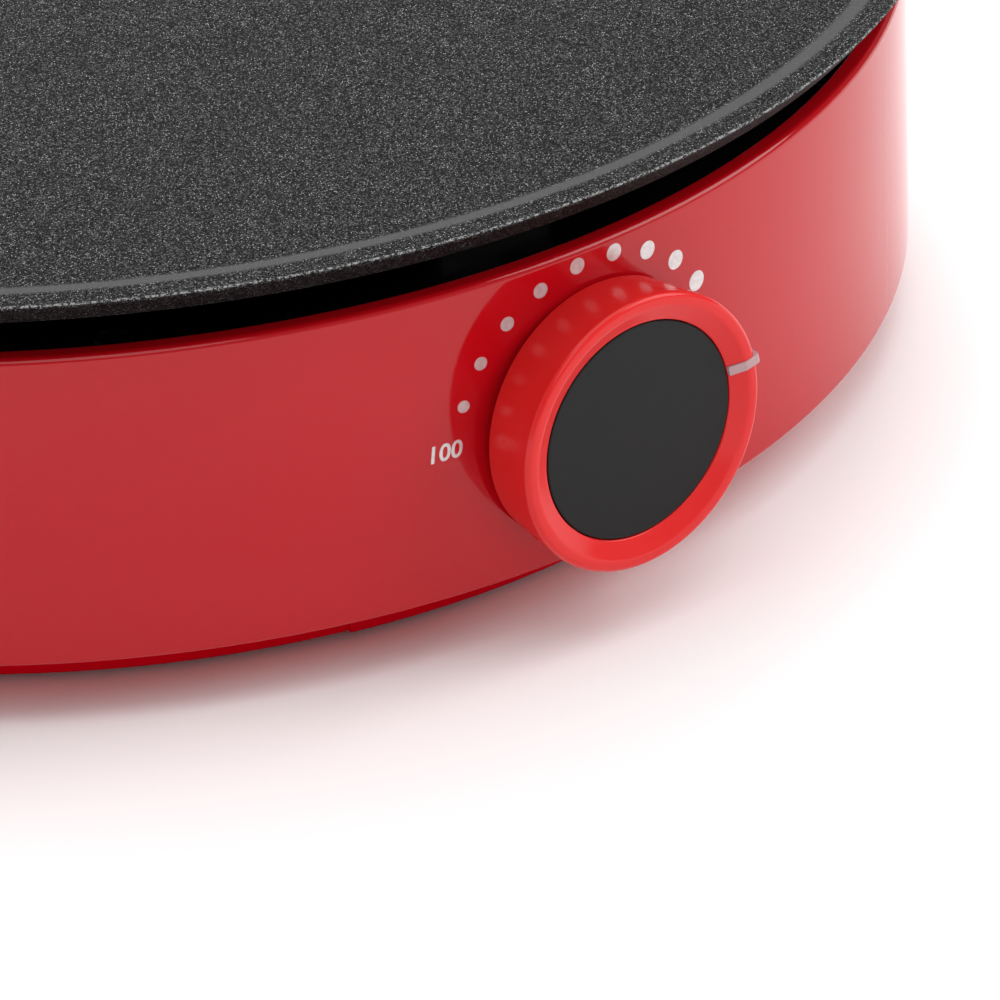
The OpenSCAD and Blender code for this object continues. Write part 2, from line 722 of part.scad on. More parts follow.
// Clear strip let into the ring's face and over its edge
module pointer_solid(slack = 0) {
    w = pointer_w + 2 * slack;
    out = knob_r + pointer_out;
    bevel = 0.4;
    over = 0.15;            // how far the strip stands in front of the ring's edge
    drop = 3.4;             // length of the strip's end down the ring's side
    in_r = cap_r + loose_fit + air - slack;
    step_r = knob_r - 1.6 - slack;
    foot = cap_face - 0.9 - slack;
    heel = knob_front - drop;
    rotate([0, 0, pointer_angle]) rotate([90, 0, 0]) translate([0, 0, -w / 2])
        linear_extrude(height = w)
            polygon([[in_r, foot], [in_r, cap_face + 0.5], [cap_r + 2.2, cap_face + 0.9],
                     [knob_r - 1.4, knob_front + over], [out - bevel, knob_front + over],
                     [out, knob_front - bevel], [out, heel], [step_r, heel - slack], [step_r, foot]]);
}

module knob_ring() {
    bore_cut = shaft_flat + spring_t + air;
    color("#e12d2d") on_knob_axis() difference() {
        rotate_extrude($fn = 144) knob_ring_profile();
        translate([0, 0, knob_back - deep]) intersection() {
            cylinder(h = knob_depth, r = shaft_r + run_fit);
            translate([-shaft_d, -shaft_d, -deep])
                cube([2 * shaft_d, shaft_d + bore_cut, knob_depth + 2 * deep]);
        }
        pointer_solid(0.05);
    }
}

module knob_cap() {
    color("#2e2e2e") on_knob_axis(pocket) cylinder(h = cap_t, r = cap_r, $fn = 144);
}

module knob_pointer() {
    color("#e9c9cd") on_knob_axis() pointer_solid();
}

// Flat spring that takes up the play between the shaft's flat and the knob
module shaft_spring() {
    w = 3.4;
    inset = 0.5;
    color("silver") on_knob_axis(knob_back + inset) translate([-w / 2, shaft_flat + run_fit / 2, 0])
        cube([w, spring_t, shaft_front - knob_back - 2 * inset]);
}

// ---- Thermostat ----

module thermostat_shaft() {
    flat_z = knob_back - 0.4;
    color("#c9c9c4") on_knob_axis() difference() {
        union() {
            translate([0, 0, shaft_back]) cylinder(h = shaft_front - shaft_back, r = shaft_r);
            translate([0, 0, shaft_back]) cylinder(h = shoulder_t, d = shoulder_d);
        }
        translate([-shaft_d, shaft_flat, flat_z]) cube([2 * shaft_d, shaft_d, shaft_front]);
        translate([0, 0, shaft_back - deep]) cylinder(h = pin_hole + deep, d = pin_d + 2 * run_fit);
    }
}

module thermostat_bush() {
    color("#c8a24a") on_knob_axis() difference() {
        union() {
            translate([0, 0, bush_back]) cylinder(h = bush_nose - bush_back, d = bush_d);
            translate([0, 0, bush_back]) cylinder(h = bush_flange_t, d = bush_d + 4);
        }
        translate([0, 0, bush_back - deep])
            cylinder(h = bush_nose - bush_back + 2 * deep, r = shaft_r + run_fit);
    }
}

module bush_nut() {
    color("#c8a24a") on_knob_axis(bracket_front) difference() {
        cylinder(h = nut_t, d = bush_d + 5.5, $fn = 6);
        translate([0, 0, -deep]) cylinder(h = nut_t + 2 * deep, d = bush_d + 2 * run_fit);
    }
}

module thermostat_bracket() {
    below = 10;
    through = bracket_t + 2 * deep;
    color("#b5b5b0") difference() {
        union() {
            translate([-bracket_w, -bracket_front, knob_z - below])
                cube([bracket_w + stack_x + washer_d / 2, bracket_t, 2 * below]);
            translate([-bracket_w, -bracket_front, knob_z])
                cube([2 * bracket_w, bracket_t, boss_z - knob_z]);
            translate([-bracket_w, -bracket_front, boss_z - bracket_t])
                cube([2 * bracket_w, flange_reach, bracket_t]);
        }
        on_knob_axis(bracket_back - deep) {
            cylinder(h = through, d = bush_d + 2 * run_fit);
            translate([stack_x, 0, 0]) cylinder(h = through, d = rivet_d + 2 * run_fit);
        }
        for (x = bracket_screw_x) translate([x, -bracket_screw_y, boss_z - bracket_t - deep])
            cylinder(h = through, d = small_screw_d + 2 * loose_fit);
    }
}

module bracket_screws() {
    color("silver") for (x = bracket_screw_x) translate([x, -bracket_screw_y, boss_z - bracket_t])
        screw(small_screw_d, bracket_t + plate_boss_h + 0.6, small_head_d);
}

module stack_washer(from, to) {
    on_knob_axis() translate([stack_x, 0, to]) difference() {
        cylinder(h = from - to, d = washer_d);
        translate([0, 0, -deep]) cylinder(h = from - to + 2 * deep, d = rivet_d + 2 * run_fit);
    }
}

module ceramic_stack() {
    color("ivory") {
        stack_washer(bracket_back, arm_y);
        stack_washer(arm_y - arm_t, strip_y);
        stack_washer(strip_y - strip_t, bimetal_y);
    }
}

// Rivet with a head at both ends, its shank clamping what lies between z = 0 and z = grip
module rivet(grip, head_t) {
    translate([0, 0, -head_t]) cylinder(h = grip + 2 * head_t, d = rivet_d);
    for (z = [-head_t, grip]) translate([0, 0, z]) cylinder(h = head_t, d = rivet_d + rivet_head);
}

module stack_rivet() {
    stack_end = bimetal_y - strip_t;
    color("silver") on_knob_axis(stack_end) translate([stack_x, 0, 0]) rivet(bracket_front - stack_end, 1.2);
}

// Strip in the stack with its front face at the distance d, from x0 to x1
module strip(d, t, x0, x1, w, hole = true) {
    on_knob_axis() difference() {
        translate([x0, -w / 2, d - t]) cube([x1 - x0, w, t]);
        if (hole) translate([stack_x, 0, d - t - deep])
            cylinder(h = t + 2 * deep, d = rivet_d + 2 * run_fit);
    }
}

module leaf_terminal() {
    color("#c8a24a") strip(arm_y, arm_t, fixed_x, tab_tip, tab_w);
}

module fixed_contact() {
    color("#c8a24a") union() {
        strip(strip_y, strip_t, contact_x - contact_d / 2 - 1, tab_tip, tab_w);
        on_knob_axis() translate([contact_x, 0, strip_y - eps])
            cylinder(h = contact_gap - contact_h - contact_open, d = contact_d);
    }
}

module bimetal_holder() {
    color("#b5b5b0") strip(bimetal_y, strip_t, fixed_x, tab_x, leaf_w);
}

module thrust_pin() {
    tip = arm_y + air;
    color("ivory") on_knob_axis(tip) cylinder(h = shaft_back + pin_hole - pin_play - tip, d = pin_d);
}

module contact_arm() {
    color("#c8a24a") union() {
        strip(arm_y, arm_t, leaf_end, bending_x, leaf_w, false);
        on_knob_axis() translate([contact_x, 0, arm_y - arm_t - contact_h])
            cylinder(h = contact_h + eps, d = contact_d);
    }
}

module bimetal_blade() {
    bead_gap = 0.8;
    bead_d = 2.5;
    color("#8f8a80") union() {
        strip(bimetal_y, strip_t, leaf_end, bending_x, leaf_w, false);
        on_knob_axis() translate([bead_x, 0, bimetal_y - eps])
            cylinder(h = arm_y - arm_t - bead_gap - bimetal_y + eps, d = bead_d);
    }
}

// ---- Cord gland ----

// Rubber gland with a collar on either side of the wall; its bore is wider inside the housing
module cord_gland() {
    collar_t = 3;
    start = gland_pad_in - collar_t;
    length = body_r + gland_reach - start;
    color("#1c1c1c") translate([0, start, gland_z]) rotate([-90, 0, 0]) difference() {
        union() {
            cylinder(h = length, d = gland_d - 2 * run_fit);
            for (z = [0, gland_pad_out - start]) translate([0, 0, z])
                cylinder(h = collar_t, d = gland_collar);
        }
        translate([0, 0, -deep]) cylinder(h = length + 2 * deep, d = gland_bore);
        translate([0, 0, -deep]) cylinder(h = gland_pad_out - start + deep + air, d = gland_bore + 1);
    }
}

// ---- Electrical parts ----

module terminal_block() {
    color("ivory") translate([block_pos.x, block_pos.y, block_z]) difference() {
        translate([-block_l / 2, -block_w / 2, 0]) cube([block_l, block_w, block_h]);
        for (x = poles) {
            translate([x, -block_w / 2 - deep, pole_z - block_z]) rotate([-90, 0, 0])
                cylinder(h = block_w + 2 * deep, d = pole_bore);
            for (s = [-1, 1]) translate([x, s * block_w / 4, pole_z - block_z])
                cylinder(h = block_h, d = clamp_screw_d + 0.6);
        }
        for (x = block_ears) translate([x, 0, 0]) {
            translate([0, 0, -deep]) cylinder(h = block_h, d = small_screw_d + 2 * loose_fit);
            translate([0, 0, block_h / 2]) cylinder(h = block_h, d = block_head_d + 2 * loose_fit);
        }
    }
}

module block_screws() {
    color("silver") for (x = block_ears)
        translate([block_pos.x + x, block_pos.y, block_z + block_h / 2]) mirror([0, 0, 1])
            screw(small_screw_d, block_h / 2 + block_post_h, block_head_d);
}

// Brass tubes in the block's poles, each with two clamping screws
module wire_clamps() {
    inset = 2;
    color("#c8a24a") translate([block_pos.x, block_pos.y, pole_z]) for (x = poles) {
        difference() {
            translate([x, inset - block_w / 2, 0]) rotate([-90, 0, 0])
                cylinder(h = block_w - 2 * inset, d = pole_bore - 2 * air);
            translate([x, -block_w, 0]) rotate([-90, 0, 0]) cylinder(h = 2 * block_w, d = lead_hole);
        }
        for (s = [-1, 1]) translate([x, s * block_w / 4, lead_d / 2 + 0.4])
            cylinder(h = block_h * 0.45, d = clamp_screw_d);
    }
}

module thermal_fuse() {
    wire_d = 1.2;
    wire_l = sleeve_l + 2 * wire_stub;
    color("#d8d8d2") translate([fuse_pos.x, fuse_pos.y, fuse_z]) rotate([0, 90, 0]) {
        translate([0, 0, -fuse_l / 2]) cylinder(h = fuse_l, d = fuse_d);
        translate([0, 0, -wire_l / 2]) cylinder(h = wire_l, d = wire_d);
    }
}

module fuse_sleeve() {
    color("#efe6cc") translate([fuse_pos.x - sleeve_l / 2, fuse_pos.y, fuse_z]) rotate([0, 90, 0])
        difference() {
            cylinder(h = sleeve_l, d = sleeve_d);
            translate([0, 0, -deep]) cylinder(h = sleeve_l + 2 * deep, d = fuse_d + 2 * air);
        }
}

// U-shaped clip that holds the sleeve up against the shield, with one flange riveted to it
module fuse_clip() {
    w = 8;
    half = sleeve_d / 2 + air;
    low = fuse_z - half - clip_t;
    color("#a8a8a4") translate([fuse_pos.x - w / 2, fuse_pos.y, 0]) difference() {
        union() {
            translate([0, -half - clip_t, low]) cube([w, 2 * (half + clip_t), clip_t]);
            for (y = [-half - clip_t, half]) translate([0, y, low]) cube([w, clip_t, pan_z - low]);
            translate([0, half, pan_z - clip_t]) cube([w, clip_reach + w / 2 - half, clip_t]);
        }
        translate([w / 2, clip_reach, low]) cylinder(h = pan_z, d = rivet_d + 2 * run_fit);
    }
}

module clip_rivet() {
    color("silver") translate([fuse_pos.x, fuse_pos.y + clip_reach, pan_z - clip_t])
        rivet(shield_t + clip_t, 1);
}

// Push-on connector: the tab enters at z = 0 and the lead leaves at the other end
module connector(blade_t) {
    slot = [tab_w + 2 * air, blade_t + air, con_grip - 1 + deep];
    grip_depth = lead_in + 1;
    difference() {
        union() {
            translate([-con_w / 2, -con_t / 2, 0]) cube([con_w, con_t, con_grip]);
            translate([0, 0, con_grip - eps]) cylinder(h = con_l - con_grip + eps, d = lead_d + 1);
        }
        translate([-slot.x / 2, -slot.y / 2, -deep]) cube(slot);
        translate([0, 0, con_l - grip_depth]) cylinder(h = grip_depth + deep, d = lead_hole);
    }
}

arm_mid = arm_y - arm_t / 2;
strip_mid = strip_y - strip_t / 2;
con_x = tab_tip - con_on;
leg_con_top = leg_bottom - seal_h - tab_h + con_on;
leg_xy = [for (s = [-1, 1]) s * element_r * [sin(leg_turn), 0] + element_r * [0, cos(leg_turn)]
          + leg_out * [-s * cos(leg_turn), sin(leg_turn)]];

module spade_connectors() {
    color("#e4d9a8") {
        translate([con_x, -arm_mid, knob_z]) rotate([90, 0, 90]) rotate([0, 0, 90]) connector(arm_t);
        translate([con_x, -strip_mid, knob_z]) rotate([90, 0, 90]) rotate([0, 0, 90]) connector(strip_t);
        at_legs() translate([0, 0, leg_con_top - leg_bottom]) mirror([0, 0, 1]) connector(tab_t);
    }
}

// ---- Leads: each starts and ends inside a connector, a clamp or the fuse's sleeve ----

fuse_end = sleeve_l / 2 + wire_stub + air / 2;

// Straight starts of a lead: out of a pole, a thermostat's connector, a leg's connector, the fuse
function from_pole(i) = [for (d = [-5, 2, 8]) [block_pos.x + poles[i], pole_y - d, pole_z]];
function from_leaf(y) = [for (d = [-lead_in, 2, 5]) [con_x + con_l + d, -y, knob_z]];
function to_leg(p) = [for (d = [-7, -3, lead_in]) [p.x, p.y, leg_con_top - con_l + d]];
function from_fuse(s) = [for (d = [0, 2, 5]) [fuse_pos.x + s * (fuse_end + d), fuse_pos.y, fuse_z]];
function reverse(p) = [for (i = [len(p) - 1:-1:0]) p[i]];

// Points in the space between the base and the pan: across and along as hundredths of the
// housing's inner radius, up as hundredths of that space's height
function inside(points) = [for (p = points) [p.x * inner_r / 100, p.y * inner_r / 100,
                                             skirt_z + base_t + p.z * (pan_z - skirt_z - base_t) / 100]];

module lead(path) {
    sweep(spline(path, 3), lead_d);
}

module live_lead() {
    color("saddlebrown") lead(concat(from_leaf(arm_mid), inside(live_route), reverse(from_pole(1))));
}

module load_lead() {
    color("saddlebrown") lead(concat(from_leaf(strip_mid), inside(load_route), reverse(from_fuse(1))));
}

module fuse_lead() {
    color("white") lead(concat(from_fuse(-1), inside(fuse_route), to_leg(leg_xy[0])));
}

module neutral_lead() {
    color("royalblue") lead(concat(from_pole(2), inside(neutral_route), to_leg(leg_xy[1])));
}

module earth_at() {
    around([earth_angle], spacer_r) translate([0, 0, ledge_z - earth_t]) children();
}

// Barrel under the tag's tail, and the lead's end in it
earth_tail = 15;
earth_tail_w = 4;
barrel_l = 5;
barrel_d = lead_d + 1.4;
barrel_z = earth_t - lap - barrel_d / 2;
earth_end = [spacer_r * sin(earth_angle), -spacer_r * cos(earth_angle), ledge_z - earth_t + barrel_z];
earth_way = [cos(earth_angle), sin(earth_angle), 0];

module earth_tag() {
    color("#c8a24a") earth_at() difference() {
        union() {
            cylinder(h = earth_t, d = 2 * plate_screw_d + 1.5);
            translate([-earth_tail, -earth_tail_w / 2, 0]) cube([earth_tail, earth_tail_w, earth_t]);
            translate([-earth_tail, 0, barrel_z]) rotate([0, 90, 0]) cylinder(h = barrel_l, d = barrel_d);
        }
        translate([0, 0, -deep]) cylinder(h = earth_t + 2 * deep, d = plate_screw_d + 2 * loose_fit);
        translate([-earth_tail - deep, 0, barrel_z]) rotate([0, 90, 0])
            cylinder(h = barrel_l + 2 * deep, d = lead_hole);
    }
}

module earth_lead() {
    reach = earth_tail - barrel_l / 2;
    color("yellowgreen") lead(concat(from_pole(0), inside(earth_route),
        [for (d = [13, 7, 1]) earth_end - (reach + d) * earth_way]));
}

body_shell();
base_plate();
base_screws();
rubber_feet();
crepe_plate();
plate_spacers();
plate_screws();
heating_element();
element_seals();
element_tabs();
element_straps();
strap_screws();
heat_shield();
shield_screws();
knob_ring();
knob_cap();
knob_pointer();
shaft_spring();
thermostat_shaft();
thermostat_bush();
bush_nut();
thermostat_bracket();
bracket_screws();
ceramic_stack();
stack_rivet();
leaf_terminal();
fixed_contact();
bimetal_holder();
thrust_pin();
contact_arm();
bimetal_blade();
cord_gland();
terminal_block();
block_screws();
wire_clamps();
thermal_fuse();
fuse_sleeve();
fuse_clip();
clip_rivet();
spade_connectors();
live_lead();
load_lead();
fuse_lead();
neutral_lead();
earth_lead();
earth_tag();
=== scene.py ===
import json
import math

import bmesh
import bpy
from mathutils import Matrix, Vector


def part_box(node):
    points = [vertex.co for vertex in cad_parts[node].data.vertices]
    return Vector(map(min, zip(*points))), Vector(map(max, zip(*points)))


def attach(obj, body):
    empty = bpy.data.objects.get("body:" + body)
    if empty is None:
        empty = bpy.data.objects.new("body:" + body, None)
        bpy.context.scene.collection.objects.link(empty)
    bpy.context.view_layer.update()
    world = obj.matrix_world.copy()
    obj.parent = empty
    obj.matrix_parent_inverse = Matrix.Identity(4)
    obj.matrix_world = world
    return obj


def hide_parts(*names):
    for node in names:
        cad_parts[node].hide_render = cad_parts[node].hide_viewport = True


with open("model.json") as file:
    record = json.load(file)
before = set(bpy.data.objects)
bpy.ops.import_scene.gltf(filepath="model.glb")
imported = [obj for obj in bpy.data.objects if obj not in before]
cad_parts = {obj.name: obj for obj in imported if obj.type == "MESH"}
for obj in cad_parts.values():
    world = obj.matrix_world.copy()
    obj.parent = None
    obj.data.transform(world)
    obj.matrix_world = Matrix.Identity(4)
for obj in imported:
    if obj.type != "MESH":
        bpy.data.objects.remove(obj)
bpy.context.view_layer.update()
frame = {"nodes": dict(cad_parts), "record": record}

# Electric crepe maker, dressed. Pieces are modelled in millimetres in the frame of the CAD model
# (origin on the table under the housing's axis, +Z up, knob towards -Y) and scaled to metres.

MM = 0.001


# ---- Sizes, from the CAD nodes and from the part's named values ----

def corners(node):
    """Lowest and highest corner of a CAD node, in millimetres."""
    low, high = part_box(node)
    return low / MM, high / MM


shell_low, shell_high = corners("body_shell")
plate_low, plate_high = corners("crepe_plate")
ring_low, ring_high = corners("knob_ring")
foot_high = corners("rubber_feet")[1]
gland_low, gland_high = corners("cord_gland")
shield_low, shield_high = corners("heat_shield")

WALL_T = 2.6
BODY_R = -shell_low.y
INNER_R = BODY_R - WALL_T
WALL_Z = shell_low.z
RIM_Z = shell_high.z
RIM_W = 3.3
RIM_H = 3.5
RIM_ROUND = 1.2
LEDGE_Z = RIM_Z - 4.5
LEDGE_W = 6.8
LEDGE_T = 2.5
FLANGE_W = 28
FLANGE_T = 2.5

PLATE_R = -plate_low.y
PLATE_Z = plate_high.z
BORDER_H = 0.5
COOK_Z = PLATE_Z - BORDER_H
PLATE_T = 3.2
UNDER_Z = COOK_Z - PLATE_T
EDGE_H = 4.5
EDGE_IN = 3.6
BORDER_W = 4.4
SLOPE_W = 2.8
LIP_W = 3
BOSS_H = 4
BOSS_Z = UNDER_Z - BOSS_H

SKIRT_Z = 1.2
SKIRT_H = 10
SKIRT_R = BODY_R - 13.9
BASE_T = 2.5
PAD_ANGLE = 32.1
PAD_OUT = 0.45
PAD_DROP = 0.1

KNOB_Z = (ring_low.z + ring_high.z) / 2
KNOB_R = (ring_high.z - ring_low.z) / 2
KNOB_BACK = -ring_high.y
KNOB_FRONT = -ring_low.y
KNOB_TAPER = 1.2
KNOB_ROUND = 1.0       # softer than the solid's 0.7, as the photograph shows
CAP_R = KNOB_R - 5.15
CAP_FACE = KNOB_FRONT - 1.5
CAP_T = 1.8
POINTER_ANGLE = 12
POINTER_W = 1.7
POINTER_OUT = 0.7
SHAFT_R = 3

ELEMENT_R = BODY_R - 51.5
TUBE_D = 6.6
SPACER_R = BODY_R - 28.5
BASE_SCREW_R = BODY_R - 24.5
FOOT_R = BODY_R - 34.5
LUG_R = INNER_R - LEDGE_W / 2 - 0.6
LUG_ANGLE = 31
LUG_ANGLES = [LUG_ANGLE, 180 - LUG_ANGLE, 180 + LUG_ANGLE, 360 - LUG_ANGLE]
CROSS_ANGLES = [45, 135, 225, 315]
FOOT_ANGLES = [0, 90, 180, 270]
STRAP_ANGLES = [35, 145, 270]
STRAP_REACH = 12
SCREW_CLEAR = 0.15
SCREW_HEAD_H = 2.4
PILOT_R = 2.05          # blind holes for the ends of 4 mm screws
SMALL_PILOT_R = 1.55    # blind holes for the ends of 3 mm screws
PASS_R = 2.15           # holes that 4 mm screws pass through
SMALL_PASS_R = 1.65     # holes that 3 mm screws pass through
WELL_TOP = WALL_Z - 4   # seat of the base screws' heads
GLAND_Z = (gland_low.z + gland_high.z) / 2
GLAND_PAD_OUT = BODY_R + 0.7


# ---- The photograph's view ----

def photo_camera():
    """Camera at the photograph's viewpoint, worked out from the curves of the plate and the wall."""
    image = 1000
    focal = 5934.23
    distance = 7.1711 * BODY_R * MM
    azimuth = math.radians(-32.8)
    elevation = math.radians(26.91)
    roll = math.radians(-2.5365)
    axis_pixel = (98.64, 201.02)      # where the wall's bottom edge would meet the axis
    target = Vector((0, 0, WALL_Z * MM))
    out = Vector((math.sin(azimuth) * math.cos(elevation),
                  -math.cos(azimuth) * math.cos(elevation), math.sin(elevation)))
    side = Vector((math.cos(azimuth), math.sin(azimuth), 0))
    above = side.cross(-out)
    right_shift = (image / 2 - axis_pixel[0]) / focal
    up_shift = (axis_pixel[1] - image / 2) / focal
    ahead = (side * right_shift + above * up_shift - out).normalized()
    level = ahead.cross(Vector((0, 0, 1))).normalized()
    upright = level.cross(ahead)
    right = level * math.cos(roll) + upright * math.sin(roll)
    up = upright * math.cos(roll) - level * math.sin(roll)
    data = bpy.data.cameras.new("camera")
    data.sensor_width = 36
    data.lens = data.sensor_width * focal / image
    camera = bpy.data.objects.new("camera", data)
    axes = Matrix((right, up, -ahead)).transposed().to_4x4()
    camera.matrix_world = Matrix.Translation(target + out * distance) @ axes
    bpy.context.scene.collection.objects.link(camera)
    bpy.context.scene.camera = camera


photo_camera()


# ---- Mesh helpers ----

def soften(points, steps=4):
    """Closed outline whose corners (x, y, radius) are rounded; a corner without a radius stays sharp."""
    outline = []
    for i, corner in enumerate(points):
        here = Vector(corner[:2])
        if len(corner) < 3:
            outline.append(here)
            continue
        to_last = Vector(points[i - 1][:2]) - here
        to_next = Vector(points[(i + 1) % len(points)][:2]) - here
        half = to_last.angle(to_next) / 2
        reach = min(corner[2] / math.tan(half), to_last.length * 0.48, to_next.length * 0.48)
        start = here + to_last.normalized() * reach
        end = here + to_next.normalized() * reach
        middle = (to_last.normalized() + to_next.normalized()).normalized()
        centre = here + middle * reach / math.cos(half)
        first = start - centre
        last = end - centre
        turn = math.atan2(first.x * last.y - first.y * last.x, first.dot(last))
        for k in range(steps + 1):
            outline.append(centre + Matrix.Rotation(turn * k / steps, 2) @ first)
    return outline


def arc(centre, radius, start, end, steps):
    """Points on an arc, angles in degrees."""
    angles = [math.radians(start + (end - start) * k / steps) for k in range(steps + 1)]
    return [(centre[0] + radius * math.cos(a), centre[1] + radius * math.sin(a)) for a in angles]


def lathe(outline, steps, start=0, sweep=360):
    """Solid of a closed outline (radius, height) turned about the vertical axis; angle 0 is at -Y."""
    mesh = bmesh.new()
    full = sweep >= 360
    count = steps if full else steps + 1
    on_axis = {i: mesh.verts.new((0, 0, p[1])) for i, p in enumerate(outline) if p[0] < 1e-6}
    rings = []
    for k in range(count):
        a = math.radians(start + sweep * k / steps)
        ring = []
        for i, p in enumerate(outline):
            at = (p[0] * math.sin(a), -p[0] * math.cos(a), p[1])
            ring.append(on_axis[i] if i in on_axis else mesh.verts.new(at))
        rings.append(ring)
    for k in range(steps):
        here = rings[k]
        there = rings[(k + 1) % count]
        for i in range(len(outline)):
            j = (i + 1) % len(outline)
            face = list(dict.fromkeys([here[i], here[j], there[j], there[i]]))
            if len(face) > 2:
                mesh.faces.new(face)
    if not full:
        mesh.faces.new(rings[0])
        mesh.faces.new(rings[-1])
    bmesh.ops.recalc_face_normals(mesh, faces=mesh.faces)
    return mesh


def prism(outline, low, high):
    """Solid of a closed outline (x, y) from one height to another."""
    mesh = bmesh.new()
    bottom = [mesh.verts.new((p[0], p[1], low)) for p in outline]
    top = [mesh.verts.new((p[0], p[1], high)) for p in outline]
    mesh.faces.new(bottom)
    mesh.faces.new(top)
    for i in range(len(outline)):
        j = (i + 1) % len(outline)
        mesh.faces.new((bottom[i], bottom[j], top[j], top[i]))
    bmesh.ops.recalc_face_normals(mesh, faces=mesh.faces)
    return mesh


def rod(radius, low, high, edge=0.0, steps=48):
    """Upright cylinder whose rims are rounded by edge."""
    rim = (edge,) if edge else ()
    outline = [(0, low), (radius, low, *rim), (radius, high, *rim), (0, high)]
    return lathe(soften(outline, 3), steps)


def block(x, y, z):
    """Box between pairs of coordinates."""
    return prism([(x[0], y[0]), (x[1], y[0]), (x[1], y[1]), (x[0], y[1])], *z)


def slot_outline(length, width):
    """Outline of a slot along y, with round ends; length is between the ends' centres."""
    steps = 8
    upper = arc((0, length / 2), width / 2, 0, 180, steps)
    lower = arc((0, -length / 2), width / 2, 180, 360, steps)
    return upper + lower


def moved(mesh, *matrices):
    """The mesh, moved by each matrix in turn."""
    for matrix in matrices:
        mesh.transform(matrix)
    return mesh


def shift(x=0, y=0, z=0):
    """Matrix of a move."""
    return Matrix.Translation((x, y, z))


def turn(degrees, axis="Z"):
    """Matrix of a turn about an axis."""
    return Matrix.Rotation(math.radians(degrees), 4, axis)


def around(make, angles, radius, height=0):
    """What make() gives, once for each angle round the vertical axis; angle 0 is at the knob."""
    return gathered([moved(make(), shift(y=-radius, z=height), turn(a)) for a in angles])


def gathered(meshes):
    """One mesh of several."""
    whole = bmesh.new()
    for mesh in meshes:
        data = bpy.data.meshes.new("part")
        mesh.to_mesh(data)
        mesh.free()
        whole.from_mesh(data)
        bpy.data.meshes.remove(data)
    return whole


def on_knob_axis(mesh):
    """Turns a mesh so that its z axis runs outwards along the knob's axis and its y axis runs up."""
    return moved(mesh, turn(90, "X"), shift(z=KNOB_Z))


def held(mesh):
    """A mesh in an object of its own, for a Boolean modifier."""
    data = bpy.data.meshes.new("tool")
    mesh.to_mesh(data)
    mesh.free()
    tool = bpy.data.objects.new("tool", data)
    bpy.context.scene.collection.objects.link(tool)
    return tool


def combined(mesh, other, operation):
    """The union, the difference or the overlap of two solids."""
    base = held(mesh)
    tool = held(other)
    modifier = base.modifiers.new("combine", "BOOLEAN")
    modifier.operation = operation
    modifier.solver = "MANIFOLD"
    modifier.object = tool
    bpy.context.view_layer.update()
    graph = bpy.context.evaluated_depsgraph_get()
    data = bpy.data.meshes.new_from_object(base.evaluated_get(graph))
    result = bmesh.new()
    result.from_mesh(data)
    for item in (base.data, tool.data, data):
        bpy.data.meshes.remove(item)
    return result


def joined(mesh, *others):
    """The union of a solid and others, one after another."""
    for other in others:
        mesh = combined(mesh, other, "UNION")
    return mesh


def cut(mesh, *others):
    """A solid less others, one after another."""
    for other in others:
        mesh = combined(mesh, other, "DIFFERENCE")
    return mesh


def rounded_edges(mesh, width, segments=2):
    """Rounds the edges at which faces meet at more than 30 degrees."""
    bmesh.ops.remove_doubles(mesh, verts=mesh.verts, dist=1e-3)
    bmesh.ops.dissolve_limit(mesh, angle_limit=math.radians(0.4), verts=mesh.verts, edges=mesh.edges)
    sharp = [e for e in mesh.edges if e.is_manifold and e.calc_face_angle() > math.radians(30)]
    bmesh.ops.bevel(mesh, geom=sharp, offset=width, segments=segments, profile=0.5,
                    affect="EDGES", clamp_overlap=False)
    return mesh


def piece(name, mesh, material, body="housing", replaces=(), smooth=40):
    """Puts a mesh into the scene as a named piece that rides on a body."""
    mesh.transform(Matrix.Scale(MM, 4))
    data = bpy.data.meshes.new(name)
    mesh.to_mesh(data)
    mesh.free()
    data.shade_smooth()
    data.set_sharp_from_angle(angle=math.radians(smooth))
    data.materials.append(material)
    thing = bpy.data.objects.new(name, data)
    bpy.context.scene.collection.objects.link(thing)
    normals = thing.modifiers.new("normals", "WEIGHTED_NORMAL")
    normals.keep_sharp = True
    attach(thing, body)
    if replaces:
        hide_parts(*replaces)


# ---- Material helpers ----

